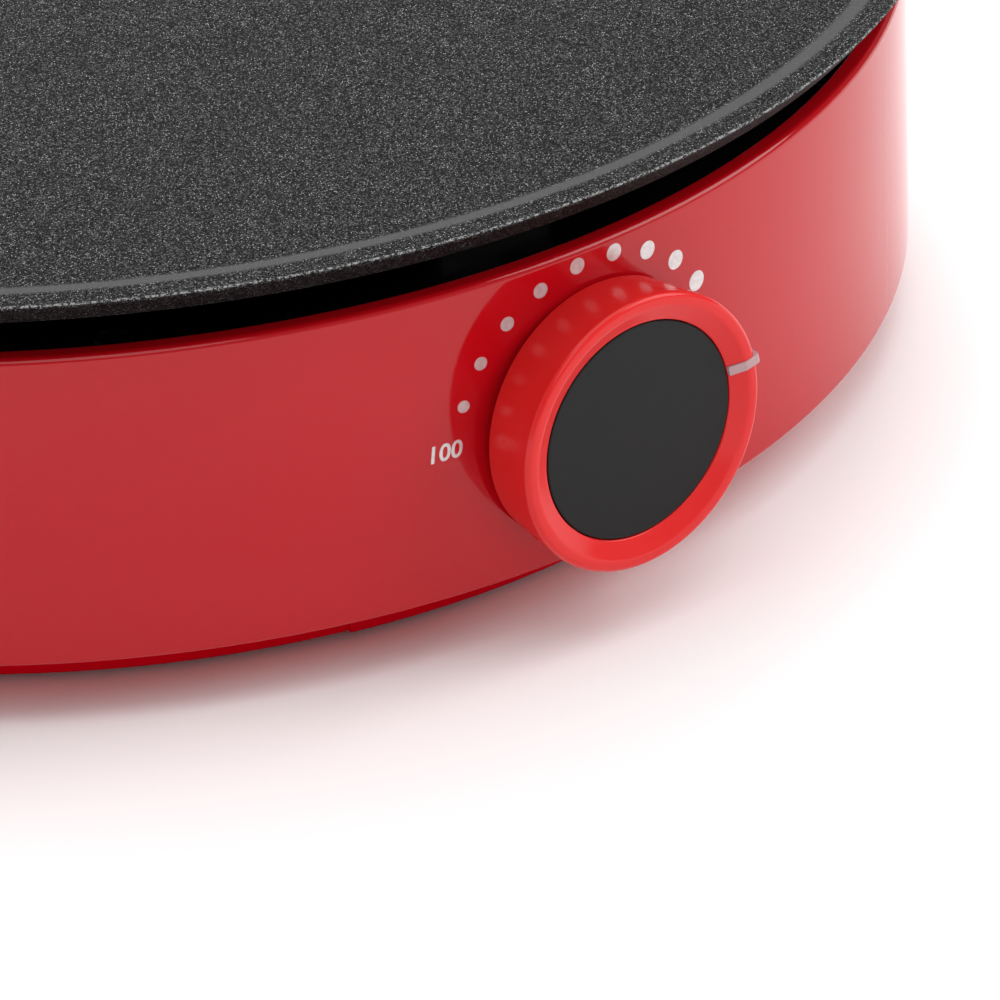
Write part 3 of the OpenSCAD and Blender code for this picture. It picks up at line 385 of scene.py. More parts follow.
class Shader:
    """A Principled material whose nodes are added by name."""

    def __init__(self, name, **values):
        self.material = bpy.data.materials.new(name)
        self.material.use_nodes = True
        self.tree = self.material.node_tree
        self.surface = self.tree.nodes["Principled BSDF"]
        self.place = self.add("ShaderNodeTexCoord").outputs["Object"]
        for key, value in values.items():
            self.surface.inputs[key.replace("_", " ")].default_value = value

    def add(self, kind, inputs=None, **settings):
        """Adds a node; an input takes a number, a colour or another node's output."""
        made = self.tree.nodes.new(kind)
        for key, value in settings.items():
            setattr(made, key, value)
        for key, value in (inputs or {}).items():
            if isinstance(value, bpy.types.NodeSocket):
                self.tree.links.new(value, made.inputs[key])
            else:
                made.inputs[key].default_value = value
        return made

    def noise(self, scale, detail, roughness=0.5, place=None):
        """Smooth noise from 0 to 1, its scale per metre."""
        inputs = {"Vector": place or self.place, "Scale": scale, "Detail": detail,
                  "Roughness": roughness}
        return self.add("ShaderNodeTexNoise", inputs).outputs["Fac"]

    def cells(self, scale):
        """Random cells, each with a colour of its own, their scale per metre."""
        return self.add("ShaderNodeTexVoronoi", {"Vector": self.place, "Scale": scale})

    def ramp(self, value, start, end, low=0, high=1):
        """Soft change from low to high as the value goes from start to end."""
        inputs = {"Value": value, "From Min": start, "From Max": end, "To Min": low, "To Max": high}
        made = self.add("ShaderNodeMapRange", inputs, interpolation_type="SMOOTHSTEP")
        return made.outputs["Result"]

    def math(self, operation, *values):
        """One operation on numbers."""
        made = self.add("ShaderNodeMath", dict(enumerate(values)), operation=operation)
        return made.outputs["Value"]

    def mix(self, share, first, second):
        """Mix of two colours, by the share of the second."""
        inputs = {0: share, 6: first, 7: second}    # 6, 7 and output 2 are the node's colours
        return self.add("ShaderNodeMix", inputs, data_type="RGBA").outputs[2]

    def from_axis(self):
        """Distance from the vertical axis, in metres."""
        flat = self.add("ShaderNodeVectorMath", {0: self.place, 1: (1, 1, 0)}, operation="MULTIPLY")
        made = self.add("ShaderNodeVectorMath", {0: flat.outputs["Vector"]}, operation="LENGTH")
        return made.outputs["Value"]

    def height(self):
        """Height above the table, in metres."""
        return self.add("ShaderNodeSeparateXYZ", {"Vector": self.place}).outputs["Z"]

    def color(self, value):
        """Sets the surface's colour."""
        self.tree.links.new(value, self.surface.inputs["Base Color"])

    def roughness(self, value):
        """Sets the surface's roughness."""
        self.tree.links.new(value, self.surface.inputs["Roughness"])

    def bump(self, value, depth):
        """Bump of a height from 0 to 1, with its depth in metres."""
        made = self.add("ShaderNodeBump", {"Height": value, "Distance": depth, "Strength": 1.0})
        self.tree.links.new(made.outputs["Normal"], self.surface.inputs["Normal"])


def rgb(red, green, blue):
    """Opaque linear colour."""
    return (red, green, blue, 1)


# ---- Materials ----

def gloss_plastic(name, color, roughness, shine, index=1.45):
    """Moulded glossy plastic: faint flow marks in its colour, orange peel and fine haze."""
    s = Shader(name, IOR=index, Specular_IOR_Level=shine)
    dark = rgb(*(c * 0.94 for c in color))
    s.color(s.mix(s.noise(28, 3), dark, rgb(*color)))
    haze = s.noise(900, 2)
    s.roughness(s.ramp(haze, 0.3, 0.7, roughness * 0.94, roughness * 1.07))
    s.bump(s.noise(420, 2), 0.000004)
    return s.material


def nonstick():
    """Speckled non-stick coating: light and dark grains, a lighter and smoother band on the slope,
    painted shade on the side and a painted highlight along the rim's outer edge.
    """
    s = Shader("speckled_nonstick", IOR=1.3, Specular_IOR_Level=0.04)
    grain_size = 0.00019
    ground = rgb(0.0115, 0.0115, 0.012)
    dark = rgb(0.0015, 0.0015, 0.0015)
    light = rgb(0.11, 0.11, 0.113)
    bright = rgb(0.62, 0.62, 0.62)
    band_color = rgb(0.082, 0.082, 0.082)
    # Light grey of the painted highlight along the plate's outer top edge.
    edge_highlight_color = rgb(0.36, 0.36, 0.36)
    radius = s.from_axis()
    slope_in = (PLATE_R - BORDER_W - SLOPE_W) * MM
    slope_out = (PLATE_R - BORDER_W) * MM
    inside = s.ramp(radius, slope_in - 0.0007, slope_in + 0.0006)
    outside = s.ramp(radius, slope_out - 0.0004, slope_out + 0.0007, 1, 0)
    band = s.math("MULTIPLY", inside, outside)
    grains = s.cells(1 / grain_size)
    pick = s.add("ShaderNodeSeparateColor", {"Color": grains.outputs["Color"]})
    flakes = s.cells(1 / (grain_size * 1.3))
    flake = s.add("ShaderNodeSeparateColor", {"Color": flakes.outputs["Color"]})
    dark_share = s.ramp(pick.outputs["Red"], 0.42, 0.56, 1, 0)
    light_share = s.ramp(pick.outputs["Red"], 0.74, 0.90)
    round_flake = s.ramp(flakes.outputs["Distance"], 0.22, 0.42, 1, 0)
    flake_share = s.math("MULTIPLY", s.ramp(flake.outputs["Green"], 0.90, 0.94), round_flake)
    patchy = s.ramp(s.noise(220, 3), 0.25, 0.75, 0.8, 1)
    color = s.mix(s.math("MULTIPLY", dark_share, patchy), ground, dark)
    color = s.mix(s.math("MULTIPLY", light_share, patchy), color, light)
    color = s.mix(flake_share, color, bright)
    color = s.mix(s.math("MULTIPLY", band, 0.86), color, band_color)
    # Painted shade: the plate's side, below its top, is darkened towards the dark grain colour.
    side = s.ramp(s.height(), (PLATE_Z - 1.1) * MM, (PLATE_Z - 0.6) * MM, 0.7, 0)
    color = s.mix(side, color, dark)
    # Painted highlight: a light grey, broken up by noise, along the plate's outer top edge.
    edge_r = (PLATE_R - 0.32) * MM
    top_z = (PLATE_Z - 0.42) * MM
    edge_highlight_zone = s.math("MULTIPLY", s.ramp(radius, edge_r - 0.0001, edge_r + 0.00025),
                      s.ramp(s.height(), top_z, top_z + 0.0003))
    painted_edge_highlight = s.math("MULTIPLY", edge_highlight_zone, s.ramp(s.noise(2200, 2, 0.7), 0.44, 0.62, 0.05, 1))
    s.color(s.mix(painted_edge_highlight, color, edge_highlight_color))
    s.roughness(s.ramp(pick.outputs["Blue"], 0, 1, 0.38, 0.62))
    relief = s.math("ADD", s.math("MULTIPLY", pick.outputs["Red"], 0.7), s.noise(1 / grain_size, 2))
    s.bump(s.math("MULTIPLY", relief, s.ramp(band, 0, 1, 1, 0.25)), 0.00003)
    return s.material


def satin_plastic(name, color, roughness, shine=0.5):
    """Matt or satin plastic with a fine eroded texture."""
    s = Shader(name, IOR=1.47, Specular_IOR_Level=shine)
    dark = rgb(*(c * 0.86 for c in color))
    s.color(s.mix(s.noise(60, 4), dark, rgb(*color)))
    s.roughness(s.ramp(s.noise(1500, 3), 0.3, 0.7, roughness * 0.9, roughness * 1.12))
    s.bump(s.noise(3800, 2), 0.000006)
    return s.material


def enamel(name, color, roughness, shine):
    """Enamel on sheet steel, with slight waves and dust."""
    s = Shader(name, IOR=1.5, Specular_IOR_Level=shine)
    dust = s.ramp(s.noise(700, 4, 0.7), 0.6, 0.85, 0, 0.06)
    s.color(s.mix(dust, rgb(*color), rgb(0.06, 0.06, 0.06)))
    s.roughness(s.ramp(s.noise(150, 3), 0.3, 0.7, roughness * 0.8, roughness * 1.3))
    s.bump(s.noise(120, 2), 0.00003)
    return s.material


def rubber(name, color, roughness):
    """Rubber or silicone: matt, with bloom and a fine mould texture."""
    s = Shader(name, IOR=1.5)
    bloom = rgb(*(min(1, c * 1.35 + 0.004) for c in color))
    s.color(s.mix(s.ramp(s.noise(240, 4), 0.4, 0.75), rgb(*color), bloom))
    s.roughness(s.ramp(s.noise(900, 2), 0.3, 0.7, roughness * 0.88, min(1, roughness * 1.1)))
    s.bump(s.noise(2600, 2), 0.00001)
    return s.material


def metal(name, color, roughness):
    """Bare metal with fine drawn lines, a little tarnish and uneven polish."""
    stretch = (1, 1, 14)
    tarnish = 0.75
    s = Shader(name, Metallic=1.0)
    lines = s.add("ShaderNodeMapping", {"Vector": s.place, "Scale": stretch}).outputs["Vector"]
    streaks = s.noise(900, 3, 0.6, lines)
    stain = rgb(*(c * tarnish for c in color))
    s.color(s.mix(s.ramp(s.noise(90, 4, 0.6), 0.45, 0.8), rgb(*color), stain))
    s.roughness(s.ramp(streaks, 0.3, 0.7, roughness * 0.75, roughness * 1.3))
    s.bump(streaks, 0.000006)
    return s.material


def heated_steel():
    """Element tube: dark oxide with straw and blue-grey tints from the heat."""
    s = Shader("heated_steel", Metallic=1.0)
    straw = rgb(0.20, 0.155, 0.11)
    grey = rgb(0.11, 0.11, 0.12)
    s.color(s.mix(s.ramp(s.noise(45, 4, 0.6), 0.38, 0.66), straw, grey))
    s.roughness(s.ramp(s.noise(600, 3), 0.3, 0.7, 0.38, 0.6))
    s.bump(s.noise(1800, 3), 0.00001)
    return s.material


def ceramic():
    """Unglazed steatite: warm white, chalky, with specks."""
    s = Shader("steatite", IOR=1.55)
    specks = s.ramp(s.noise(1400, 2), 0.68, 0.8, 0, 0.5)
    s.color(s.mix(specks, rgb(0.71, 0.68, 0.55), rgb(0.36, 0.31, 0.22)))
    s.roughness(s.ramp(s.noise(500, 3), 0.3, 0.7, 0.5, 0.75))
    s.bump(s.noise(2200, 3), 0.00002)
    return s.material


def braid():
    """Braided glass-fibre sleeve round the fuse, which lies along x."""
    s = Shader("glass_braid", IOR=1.5)
    slant = turn(45).to_euler()
    turned = s.add("ShaderNodeMapping", {"Vector": s.place, "Rotation": slant}).outputs["Vector"]
    inputs = {"Vector": turned, "Scale": 700.0, "Distortion": 0.4}
    warp = s.add("ShaderNodeTexWave", inputs, bands_direction="X").outputs["Fac"]
    weft = s.add("ShaderNodeTexWave", inputs, bands_direction="Y").outputs["Fac"]
    weave = s.math("MAXIMUM", warp, weft)
    s.color(s.mix(weave, rgb(0.42, 0.37, 0.26), rgb(0.78, 0.72, 0.56)))
    s.roughness(s.ramp(weave, 0, 1, 0.9, 0.65))
    s.bump(weave, 0.00008)
    return s.material


def clear_pointer():
    """Frosted clear plastic of the pointer; the faint pink in its colour is a painted reflection of the
    red round it.
    """
    s = Shader("frosted_clear", IOR=1.49, Transmission_Weight=0.4, Specular_IOR_Level=0.4)
    s.color(s.mix(s.noise(150, 2), rgb(0.66, 0.40, 0.43), rgb(0.74, 0.50, 0.53)))
    s.roughness(s.ramp(s.noise(400, 2), 0.3, 0.7, 0.28, 0.36))
    s.bump(s.noise(300, 2), 0.000004)
    return s.material


def ink():
    """Pad-printed white ink of the scale."""
    s = Shader("white_ink", IOR=1.45, Metallic=0.45)
    thin = s.ramp(s.noise(1300, 3), 0.35, 0.7)
    s.color(s.mix(thin, rgb(0.60, 0.56, 0.56), rgb(0.70, 0.68, 0.68)))
    s.roughness(s.ramp(s.noise(1500, 2), 0.3, 0.7, 0.16, 0.26))
    s.bump(s.noise(3000, 2), 0.000004)
    return s.material


RED = gloss_plastic("body_red", (0.487, 0.0026, 0.0075), 0.07, 0.42)
# Painted light: the base is the body's red plastic, given a lighter red to brighten the skirt in the
# shade under the wall.
BASE_RED = gloss_plastic("base_red", (0.74, 0.0006, 0.012), 0.35, 0.05, 1.25)
KNOB_RED = gloss_plastic("knob_red", (0.70, 0.017, 0.017), 0.2, 0.34)
COATING = nonstick()
CAP_BLACK = satin_plastic("cap_black", (0.0095, 0.0095, 0.0095), 0.42, 0.2)
GLAND_BLACK = rubber("gland_black", (0.018, 0.018, 0.018), 0.55)
FOOT_BLACK = rubber("foot_black", (0.022, 0.022, 0.023), 0.72)
SHIELD_BLACK = enamel("shield_black", (0.003, 0.003, 0.003), 0.2, 0.25)
SCREW_BLACK = enamel("screw_black", (0.002, 0.002, 0.002), 0.5, 0.05)
ZINC = metal("zinc", (0.60, 0.61, 0.62), 0.32)
SHEET = metal("sheet_steel", (0.50, 0.50, 0.49), 0.38)
BIMETAL = metal("bimetal", (0.38, 0.35, 0.31), 0.3)
BRASS = metal("brass", (0.72, 0.50, 0.20), 0.3)
ALUMINIUM = metal("fuse_metal", (0.72, 0.72, 0.70), 0.3)
HEATED = heated_steel()
CERAMIC = ceramic()
BLOCK_WHITE = satin_plastic("block_white", (0.72, 0.70, 0.60), 0.45)
COVER = satin_plastic("connector_cover", (0.70, 0.63, 0.36), 0.5)
BRAID = braid()
POINTER = clear_pointer()
INK = ink()
BROWN = rubber("lead_brown", (0.10, 0.032, 0.012), 0.5)
WHITE = rubber("lead_white", (0.72, 0.71, 0.68), 0.5)
BLUE = rubber("lead_blue", (0.012, 0.04, 0.30), 0.5)
GREEN = rubber("lead_green", (0.16, 0.34, 0.01), 0.5)


# ---- Cooking plate ----

def strap_bosses(radius, low, high):
    """Rods under the plate at the screws of the element's straps."""
    def pair():
        """The two rods of one strap."""
        return gathered([moved(rod(radius, low, high), shift(y=s * STRAP_REACH)) for s in (-1, 1)])
    return around(pair, STRAP_ANGLES, ELEMENT_R)


def cooking_plate():
    """Plate with a raised border, a lip below, fins beside the element and bosses for screws."""
    boss_r = 6
    strap_boss_r = 4
    low_z = PLATE_Z - EDGE_H
    low_r = PLATE_R - EDGE_IN
    border_r = PLATE_R - BORDER_W
    lip_r = low_r - LIP_W
    fin_gap = TUBE_D / 2 + 0.3
    fin_t = 2
    fin_z = UNDER_Z - TUBE_D / 2
    outline = [(0, UNDER_Z)]
    for inner in (ELEMENT_R - fin_gap - fin_t, ELEMENT_R + fin_gap):
        outline += [(inner, UNDER_Z, 0.6), (inner, fin_z, 0.5), (inner + fin_t, fin_z, 0.5),
                    (inner + fin_t, UNDER_Z, 0.6)]
    outline += [(lip_r - 1.5, UNDER_Z, 1), (lip_r, low_z, 0.6), (low_r, low_z, 0.6),
                (PLATE_R + 0.25, PLATE_Z, 0.24), (border_r, PLATE_Z, 1.6),
                (border_r - SLOPE_W, COOK_Z, 2.6), (0, COOK_Z)]
    plate = lathe(soften(outline, 5), 360)
    boss_top = UNDER_Z + PLATE_T / 2
    hole_top = boss_top - 0.4
    strap_low = UNDER_Z - TUBE_D - 0.2
    bosses = around(lambda: rod(boss_r, BOSS_Z, boss_top, 0.5), CROSS_ANGLES, SPACER_R)
    plate = joined(plate, bosses, strap_bosses(strap_boss_r, strap_low, boss_top))
    holes = around(lambda: rod(PILOT_R, BOSS_Z - 1, hole_top), CROSS_ANGLES, SPACER_R)
    plate = cut(plate, holes, strap_bosses(SMALL_PILOT_R, strap_low - 1, hole_top))
    piece("cooking_plate", plate, COATING, replaces=["crepe_plate"])


# ---- Housing ----

def stiffening_rib():
    """Upright rib between the flange and the wall, wide at its foot."""
    half_t = 1
    rib_h = 22
    foot = 12
    top = 2
    middle = BODY_R - WALL_T / 2
    low = WALL_Z + FLANGE_T - 0.1
    high = WALL_Z + FLANGE_T + rib_h
    outline = [(INNER_R - foot, low), (middle, low), (middle, high), (INNER_R - top, high, 1)]
    return moved(prism(soften(outline), -half_t, half_t), turn(90, "X"), turn(-90))


def housing_shell():
    """Wall with a thick rim, a ledge and a flange, its ribs, its bosses and the gland's pad."""
    boss_r = 5
    boss_h = 17
    lug_boss_r = 3.5
    lug_boss_h = 14
    gland_pad_r = 9.5
    gland_hole_r = 6
    shaft_hole_r = 4.75
    ribs = 12
    rib_step = 360 / ribs
    flange_r = INNER_R - FLANGE_W
    flange_z = WALL_Z + FLANGE_T
    outline = [(flange_r, WALL_Z, 0.5), (BODY_R, WALL_Z, 0.55), (BODY_R, RIM_Z, RIM_ROUND),
               (BODY_R - RIM_W, RIM_Z, 0.4), (BODY_R - RIM_W, RIM_Z - RIM_H, 0.15),
               (INNER_R, RIM_Z - RIM_H), (INNER_R, LEDGE_Z), (INNER_R - LEDGE_W, LEDGE_Z, 0.3),
               (INNER_R - LEDGE_W, LEDGE_Z - LEDGE_T, 0.3), (INNER_R, LEDGE_Z - LEDGE_T, 0.5),
               (INNER_R, flange_z, 1), (flange_r, flange_z, 0.5)]
    shell = lathe(soften(outline, 6), 360)
    boss_top = WALL_Z + FLANGE_T + boss_h
    lug_low = LEDGE_Z - lug_boss_h
    end_wall = 1.5
    pad_in = INNER_R - 1.4
    at_gland = (turn(-90, "X"), shift(z=GLAND_Z))
    stiffeners = gathered([moved(stiffening_rib(), turn(rib_step / 2 + rib_step * i))
                           for i in range(ribs)])
    bosses = around(lambda: rod(boss_r, WALL_Z + 0.3, boss_top, 0.4), CROSS_ANGLES, BASE_SCREW_R)
    lug_bosses = around(lambda: rod(lug_boss_r, lug_low, LEDGE_Z - 0.1, 0.3), LUG_ANGLES, LUG_R)
    gland_pad = moved(rod(gland_pad_r, pad_in, GLAND_PAD_OUT, 0.3, 64), *at_gland)
    shell = joined(shell, stiffeners, bosses, lug_bosses, gland_pad)
    screw_holes = around(lambda: rod(PILOT_R, WALL_Z - 1, boss_top - end_wall),
                         CROSS_ANGLES, BASE_SCREW_R)
    lug_holes = around(lambda: rod(SMALL_PILOT_R, lug_low + end_wall, LEDGE_Z + 1), LUG_ANGLES, LUG_R)
    shaft_hole = on_knob_axis(rod(shaft_hole_r, INNER_R - 1, BODY_R + 1, 0, 64))
    gland_hole = moved(rod(gland_hole_r, pad_in - 1, GLAND_PAD_OUT + 1, 0, 64), *at_gland)
    shell = cut(shell, screw_holes, lug_holes, shaft_hole, gland_hole)
    piece("housing_shell", shell, RED, replaces=["body_shell"])


# ---- Base ----

def base_tray():
    """Tray with raised pads on its skirt, screw posts and wells, seats for the feet, and vents."""
    post_r = 6.25
    well_r = 4.5
    seat_r = 11
    socket_r = 9.15
    socket_h = 2.8
    block_post_r = 3.25
    in_floor = SKIRT_Z + 0.3
    floor_top = SKIRT_Z + BASE_T
    skirt_top = SKIRT_Z + SKIRT_H
    outline = [(0, SKIRT_Z), (SKIRT_R, SKIRT_Z, 0.6), (SKIRT_R, skirt_top, 0.1),
               (SKIRT_R - BASE_T, skirt_top, 0.1), (SKIRT_R - BASE_T, floor_top, 1), (0, floor_top)]
    tray = lathe(soften(outline), 360)
    pad_low = SKIRT_Z - PAD_DROP
    pad_outline = [(SKIRT_R - BASE_T / 2, pad_low, 0.2), (SKIRT_R + PAD_OUT, pad_low, 0.4),
                   (SKIRT_R + PAD_OUT, skirt_top - 0.15, 0.1), (SKIRT_R - BASE_T / 2, skirt_top - 0.15)]
    pads = gathered([lathe(soften(pad_outline), 36, a - PAD_ANGLE / 2, PAD_ANGLE)
                     for a in FOOT_ANGLES])
    posts = around(lambda: rod(post_r, in_floor, skirt_top, 0.1), CROSS_ANGLES, BASE_SCREW_R)
    seats = around(lambda: rod(seat_r, in_floor, SKIRT_Z + 4.8, 0.4), FOOT_ANGLES, FOOT_R)
    block_low, block_high = corners("terminal_block")
    block_y = (block_low.y + block_high.y) / 2
    ears = (block_low.x + 3, block_high.x - 3)
    block_posts = gathered([moved(rod(block_post_r, in_floor, block_low.z), shift(x, block_y))
                            for x in ears])
    tray = joined(tray, pads, posts, seats, block_posts)
    bores = around(lambda: rod(PASS_R, SKIRT_Z - 1, skirt_top + 1), CROSS_ANGLES, BASE_SCREW_R)
    wells = around(lambda: rod(well_r, SKIRT_Z - 1, WELL_TOP), CROSS_ANGLES, BASE_SCREW_R)
    sockets = around(lambda: rod(socket_r, SKIRT_Z - 1, SKIRT_Z + socket_h), FOOT_ANGLES, FOOT_R)
    block_holes = gathered([moved(rod(SMALL_PILOT_R, SKIRT_Z + 1.5, block_low.z + 1),
                                  shift(x, block_y)) for x in ears])
    tray = cut(tray, bores, wells, sockets, block_holes, vents())
    piece("base_tray", tray, BASE_RED, replaces=["base_plate"], smooth=30)


def vents():
    """Cutters for the two groups of vent slots in the base."""
    count = 7
    width = 3
    length = 24
    group_y = 52
    pitch = 3 * width
    slots = []
    for side in (-1, 1):
        for i in range(count):
            slot = prism(slot_outline(length, width), SKIRT_Z - 1, SKIRT_Z + BASE_T + 1)
            slots.append(moved(slot, shift((i - (count - 1) / 2) * pitch, side * group_y)))
    return gathered(slots)


def rubber_feet():
    """Glued-in rubber feet with a shallow hollow and a rounded rim."""
    radius = 9
    top = foot_high.z
    hollow = 0.35
    outline = [(0, hollow), (5.6, hollow, 0.3), (6.2, 0, 0.3), (radius, 0, 0.7), (radius, top, 0.3),
               (0, top)]
    feet = around(lambda: lathe(soften(outline), 64), FOOT_ANGLES, FOOT_R)
    piece("foot_pads", feet, FOOT_BLACK, replaces=["rubber_feet"])


# ---- Heat shield ----

def heat_shield():
    """Enamelled sheet with a pan in its middle and a raised lug round each fixing screw."""
    thick = 1
    top = LEDGE_Z + thick
    edge_r = BODY_R - RIM_W - 2 * SCREW_CLEAR
    pan_z = shield_low.z
    pan_top_r = SPACER_R - 9
    pan_r = pan_top_r - 5
    outline = [(0, pan_z), (pan_r, pan_z, 1.6), (pan_top_r, LEDGE_Z, 0.6), (edge_r, LEDGE_Z, 0.1),
               (edge_r, top, 0.25), (pan_top_r - 0.6, top, 1.6), (pan_r - 0.6, pan_z + thick, 0.6),
               (0, pan_z + thick)]
    sheet = lathe(soften(outline), 180)
    lug_w = 13
    lug_l = 17
    lug_top = top + 0.8
    lug_in = 7
    lug_out = lug_in - lug_l
    lug_outline = soften([(-lug_w / 2, lug_out, 3), (lug_w / 2, lug_out, 3), (lug_w / 2, lug_in),
                          (-lug_w / 2, lug_in)])
    lugs = around(lambda: prism(lug_outline, LEDGE_Z + 0.1, lug_top), LUG_ANGLES, LUG_R)
    disc = lathe([(0, LEDGE_Z), (edge_r - 0.2, LEDGE_Z), (edge_r - 0.2, PLATE_Z), (0, PLATE_Z)], 180)
    lugs = rounded_edges(combined(lugs, disc, "INTERSECT"), 0.3)
    sheet = joined(sheet, lugs)
    bracket_low, bracket_high = corners("thermostat_bracket")
    window_x = (-14, 16)
    window = block(window_x, (bracket_low.y - 3, bracket_high.y + 4), (pan_z - 1, top + 1))
    leg_hole_r = TUBE_D / 2 + 1
    legs = gathered([moved(rod(leg_hole_r, pan_z - 1, top + 1), shift(*at)) for at in leg_places()])
    screw_holes = around(lambda: rod(SMALL_PASS_R, LEDGE_Z - 1, lug_top + 1), LUG_ANGLES, LUG_R)
    plate_holes = around(lambda: rod(PASS_R, LEDGE_Z - 1, top + 1), CROSS_ANGLES, SPACER_R)
    clip_low, clip_high = corners("clip_rivet")
    rivet_at = (clip_low + clip_high) / 2
    rivet_hole = moved(rod(SMALL_PASS_R, pan_z - 1, pan_z + 2), shift(rivet_at.x, rivet_at.y))
    sheet = cut(sheet, window, legs, screw_holes, plate_holes, rivet_hole)
    piece("shield_sheet", sheet, SHIELD_BLACK, replaces=["heat_shield"])


def leg_places():
    """Where the element's two legs come down at the rear, (x, y)."""
    half = math.radians(13)     # half of the angle that the ring leaves open
    out = 8.4                   # how far a leg stands past the ring's end, along the ring
    places = []
    for s in (-1, 1):
        x = s * ELEMENT_R * math.sin(half) - s * out * math.cos(half)
        y = ELEMENT_R * math.cos(half) + out * math.sin(half)
        places.append((x, y))
    return places


# ---- Knob ----

def knob_ring():
    """Ring with a dished face, a rounded front edge and a hub for the flatted shaft."""
    back_r = KNOB_R - KNOB_TAPER
    skin_r = back_r - 2.2
    hub_r = SHAFT_R + 3.2
    pocket = CAP_FACE - CAP_T
    hub_front = pocket - 1.8
    lip_r = KNOB_R - KNOB_ROUND
    seat_r = CAP_R + SCREW_CLEAR
    crest_r = KNOB_R - 2.0
    lip = arc((lip_r, KNOB_FRONT - KNOB_ROUND), KNOB_ROUND, 0, 90, 10)
    head = soften([(crest_r, KNOB_FRONT, 3.6), (seat_r + 0.55, CAP_FACE + 0.2, 0.5),
                   (seat_r, CAP_FACE - 0.05, 0.35), (seat_r, pocket), (0, pocket), (0, KNOB_BACK),
                   (hub_r, KNOB_BACK, 0.3), (hub_r, hub_front, 0.4), (skin_r, hub_front, 0.8),
                   (skin_r, KNOB_BACK, 0.3), (back_r, KNOB_BACK, 0.35), lip[0], lip[-1]], 6)
    ring = on_knob_axis(lathe([*map(Vector, lip), *head[:-2]], 240))
    flat = 2                    # the shaft's flat, the spring strip and their play
    bore = cut(rod(SHAFT_R + 0.05, KNOB_BACK - 1, KNOB_FRONT - 1, 0, 64),
               block((-9, 9), (flat, 9), (KNOB_BACK - 3, KNOB_FRONT + 3)))
    ring = cut(ring, on_knob_axis(bore), pointer_solid(0.05))
    piece("knob_grip", ring, KNOB_RED, "knob", ["knob_ring"], smooth=32)


def pointer_solid(slack=0.0, edge=0.0):
    """Strip let into the ring's face and over its edge, along the pointer's direction."""
    width = POINTER_W + 2 * slack
    out = KNOB_R + POINTER_OUT
    proud = KNOB_FRONT + 0.15
    heel = KNOB_FRONT - 3.4
    inner = CAP_R + SCREW_CLEAR + 0.1 - slack
    step = KNOB_R - 1.6 - slack
    foot = CAP_FACE - 0.9 - slack
    outline = [(inner, foot), (inner, CAP_FACE + 0.45, 0.15), (KNOB_R - 2.2, proud, 1.0),
               (out, proud, 0.7), (out, heel, 0.3), (step, heel - slack), (step, foot)]
    strip = prism(soften(outline, 5), -width / 2, width / 2)
    if edge:
        strip = rounded_edges(strip, edge, 3)
    return on_knob_axis(moved(strip, turn(90, "X"), turn(POINTER_ANGLE)))


def knob_pointer():
    """Clear strip that stands a little out of the ring, with rounded edges."""
    strip = pointer_solid(edge=0.22)
    piece("knob_marker", strip, POINTER, "knob", ["knob_pointer"])


def knob_cap():
    """Black disc in the ring, flat on its face, with a fine edge."""
    pocket = CAP_FACE - CAP_T
    outline = soften([(0, pocket), (CAP_R, pocket, 0.2), (CAP_R, CAP_FACE, 0.3), (0, CAP_FACE)], 5)
    piece("knob_disc", on_knob_axis(lathe(outline, 240)), CAP_BLACK, "knob", ["knob_cap"])


# ---- Printed scale ----

INK_PROUD = 0.03
INK_DEPTH = 0.03


def on_wall(mesh):
    """Wraps a flat mesh (across, thickness, up) round the wall, centred on the knob's axis."""
    for v in mesh.verts:
        a = v.co.x / BODY_R
        r = BODY_R + v.co.y
        v.co = Vector((r * math.sin(a), -r * math.cos(a), KNOB_Z + v.co.z))
    bmesh.ops.recalc_face_normals(mesh, faces=mesh.faces)
    return mesh


def ink_dot(across, up, radius):
    """Round printed dot, as a thin solid on the wall."""
    dot = lathe([(0, -INK_DEPTH), (radius, -INK_DEPTH), (radius, INK_PROUD * 0.6),
                 (radius - 0.08, INK_PROUD), (0, INK_PROUD)], 40)
    return on_wall(moved(dot, turn(-90, "X"), turn(180), shift(across, 0, up)))


def scale_dots():
    """Dots round the knob, from the low end of the scale to the high end, each larger than the last."""
    count = 10
    ring_r = 26.25
    first = 161.23
    step = 16.15
    small = 1.05
    growth = 0.083
    dots = []
    for i in range(count):
        a = math.radians(first - step * i)
        dots.append(ink_dot(ring_r * math.cos(a), ring_r * math.sin(a), small + growth * i))
    piece("scale_dots", gathered(dots), INK)


def numeral(digits, across, up, height):
    """Printed number on the wall, centred at a place beside the knob."""
    words = bpy.data.curves.new("digits", "FONT")
    words.body = digits
    words.align_x = "CENTER"
    words.align_y = "CENTER"
    words.size = height * 1.38
    words.offset = height * 0.024
    words.shear = 0.12
    words.extrude = (INK_PROUD + INK_DEPTH) / 2
    text = bpy.data.objects.new("digits", words)
    bpy.context.scene.collection.objects.link(text)
    bpy.context.view_layer.update()
    data = bpy.data.meshes.new_from_object(text)
    mesh = bmesh.new()
    mesh.from_mesh(data)
    bpy.data.objects.remove(text)
    bpy.data.meshes.remove(data)
    bpy.data.curves.remove(words)
    bmesh.ops.remove_doubles(mesh, verts=mesh.verts, dist=1e-4)
    middle = (INK_PROUD - INK_DEPTH) / 2
    outwards = Matrix.Scale(-1, 4, (0, 1, 0))
    return on_wall(moved(mesh, turn(90, "X"), outwards, shift(across, middle, up)))


def scale_numbers():
    """Plain numerals at the two ends of the scale."""
    height = 3.0
    low_end = numeral("100", -28.6, 1.3, height)
    high_end = numeral("250", 29.7, -0.5, height)
    piece("scale_numbers", gathered([low_end, high_end]), INK, smooth=20)


# ---- Cord gland ----

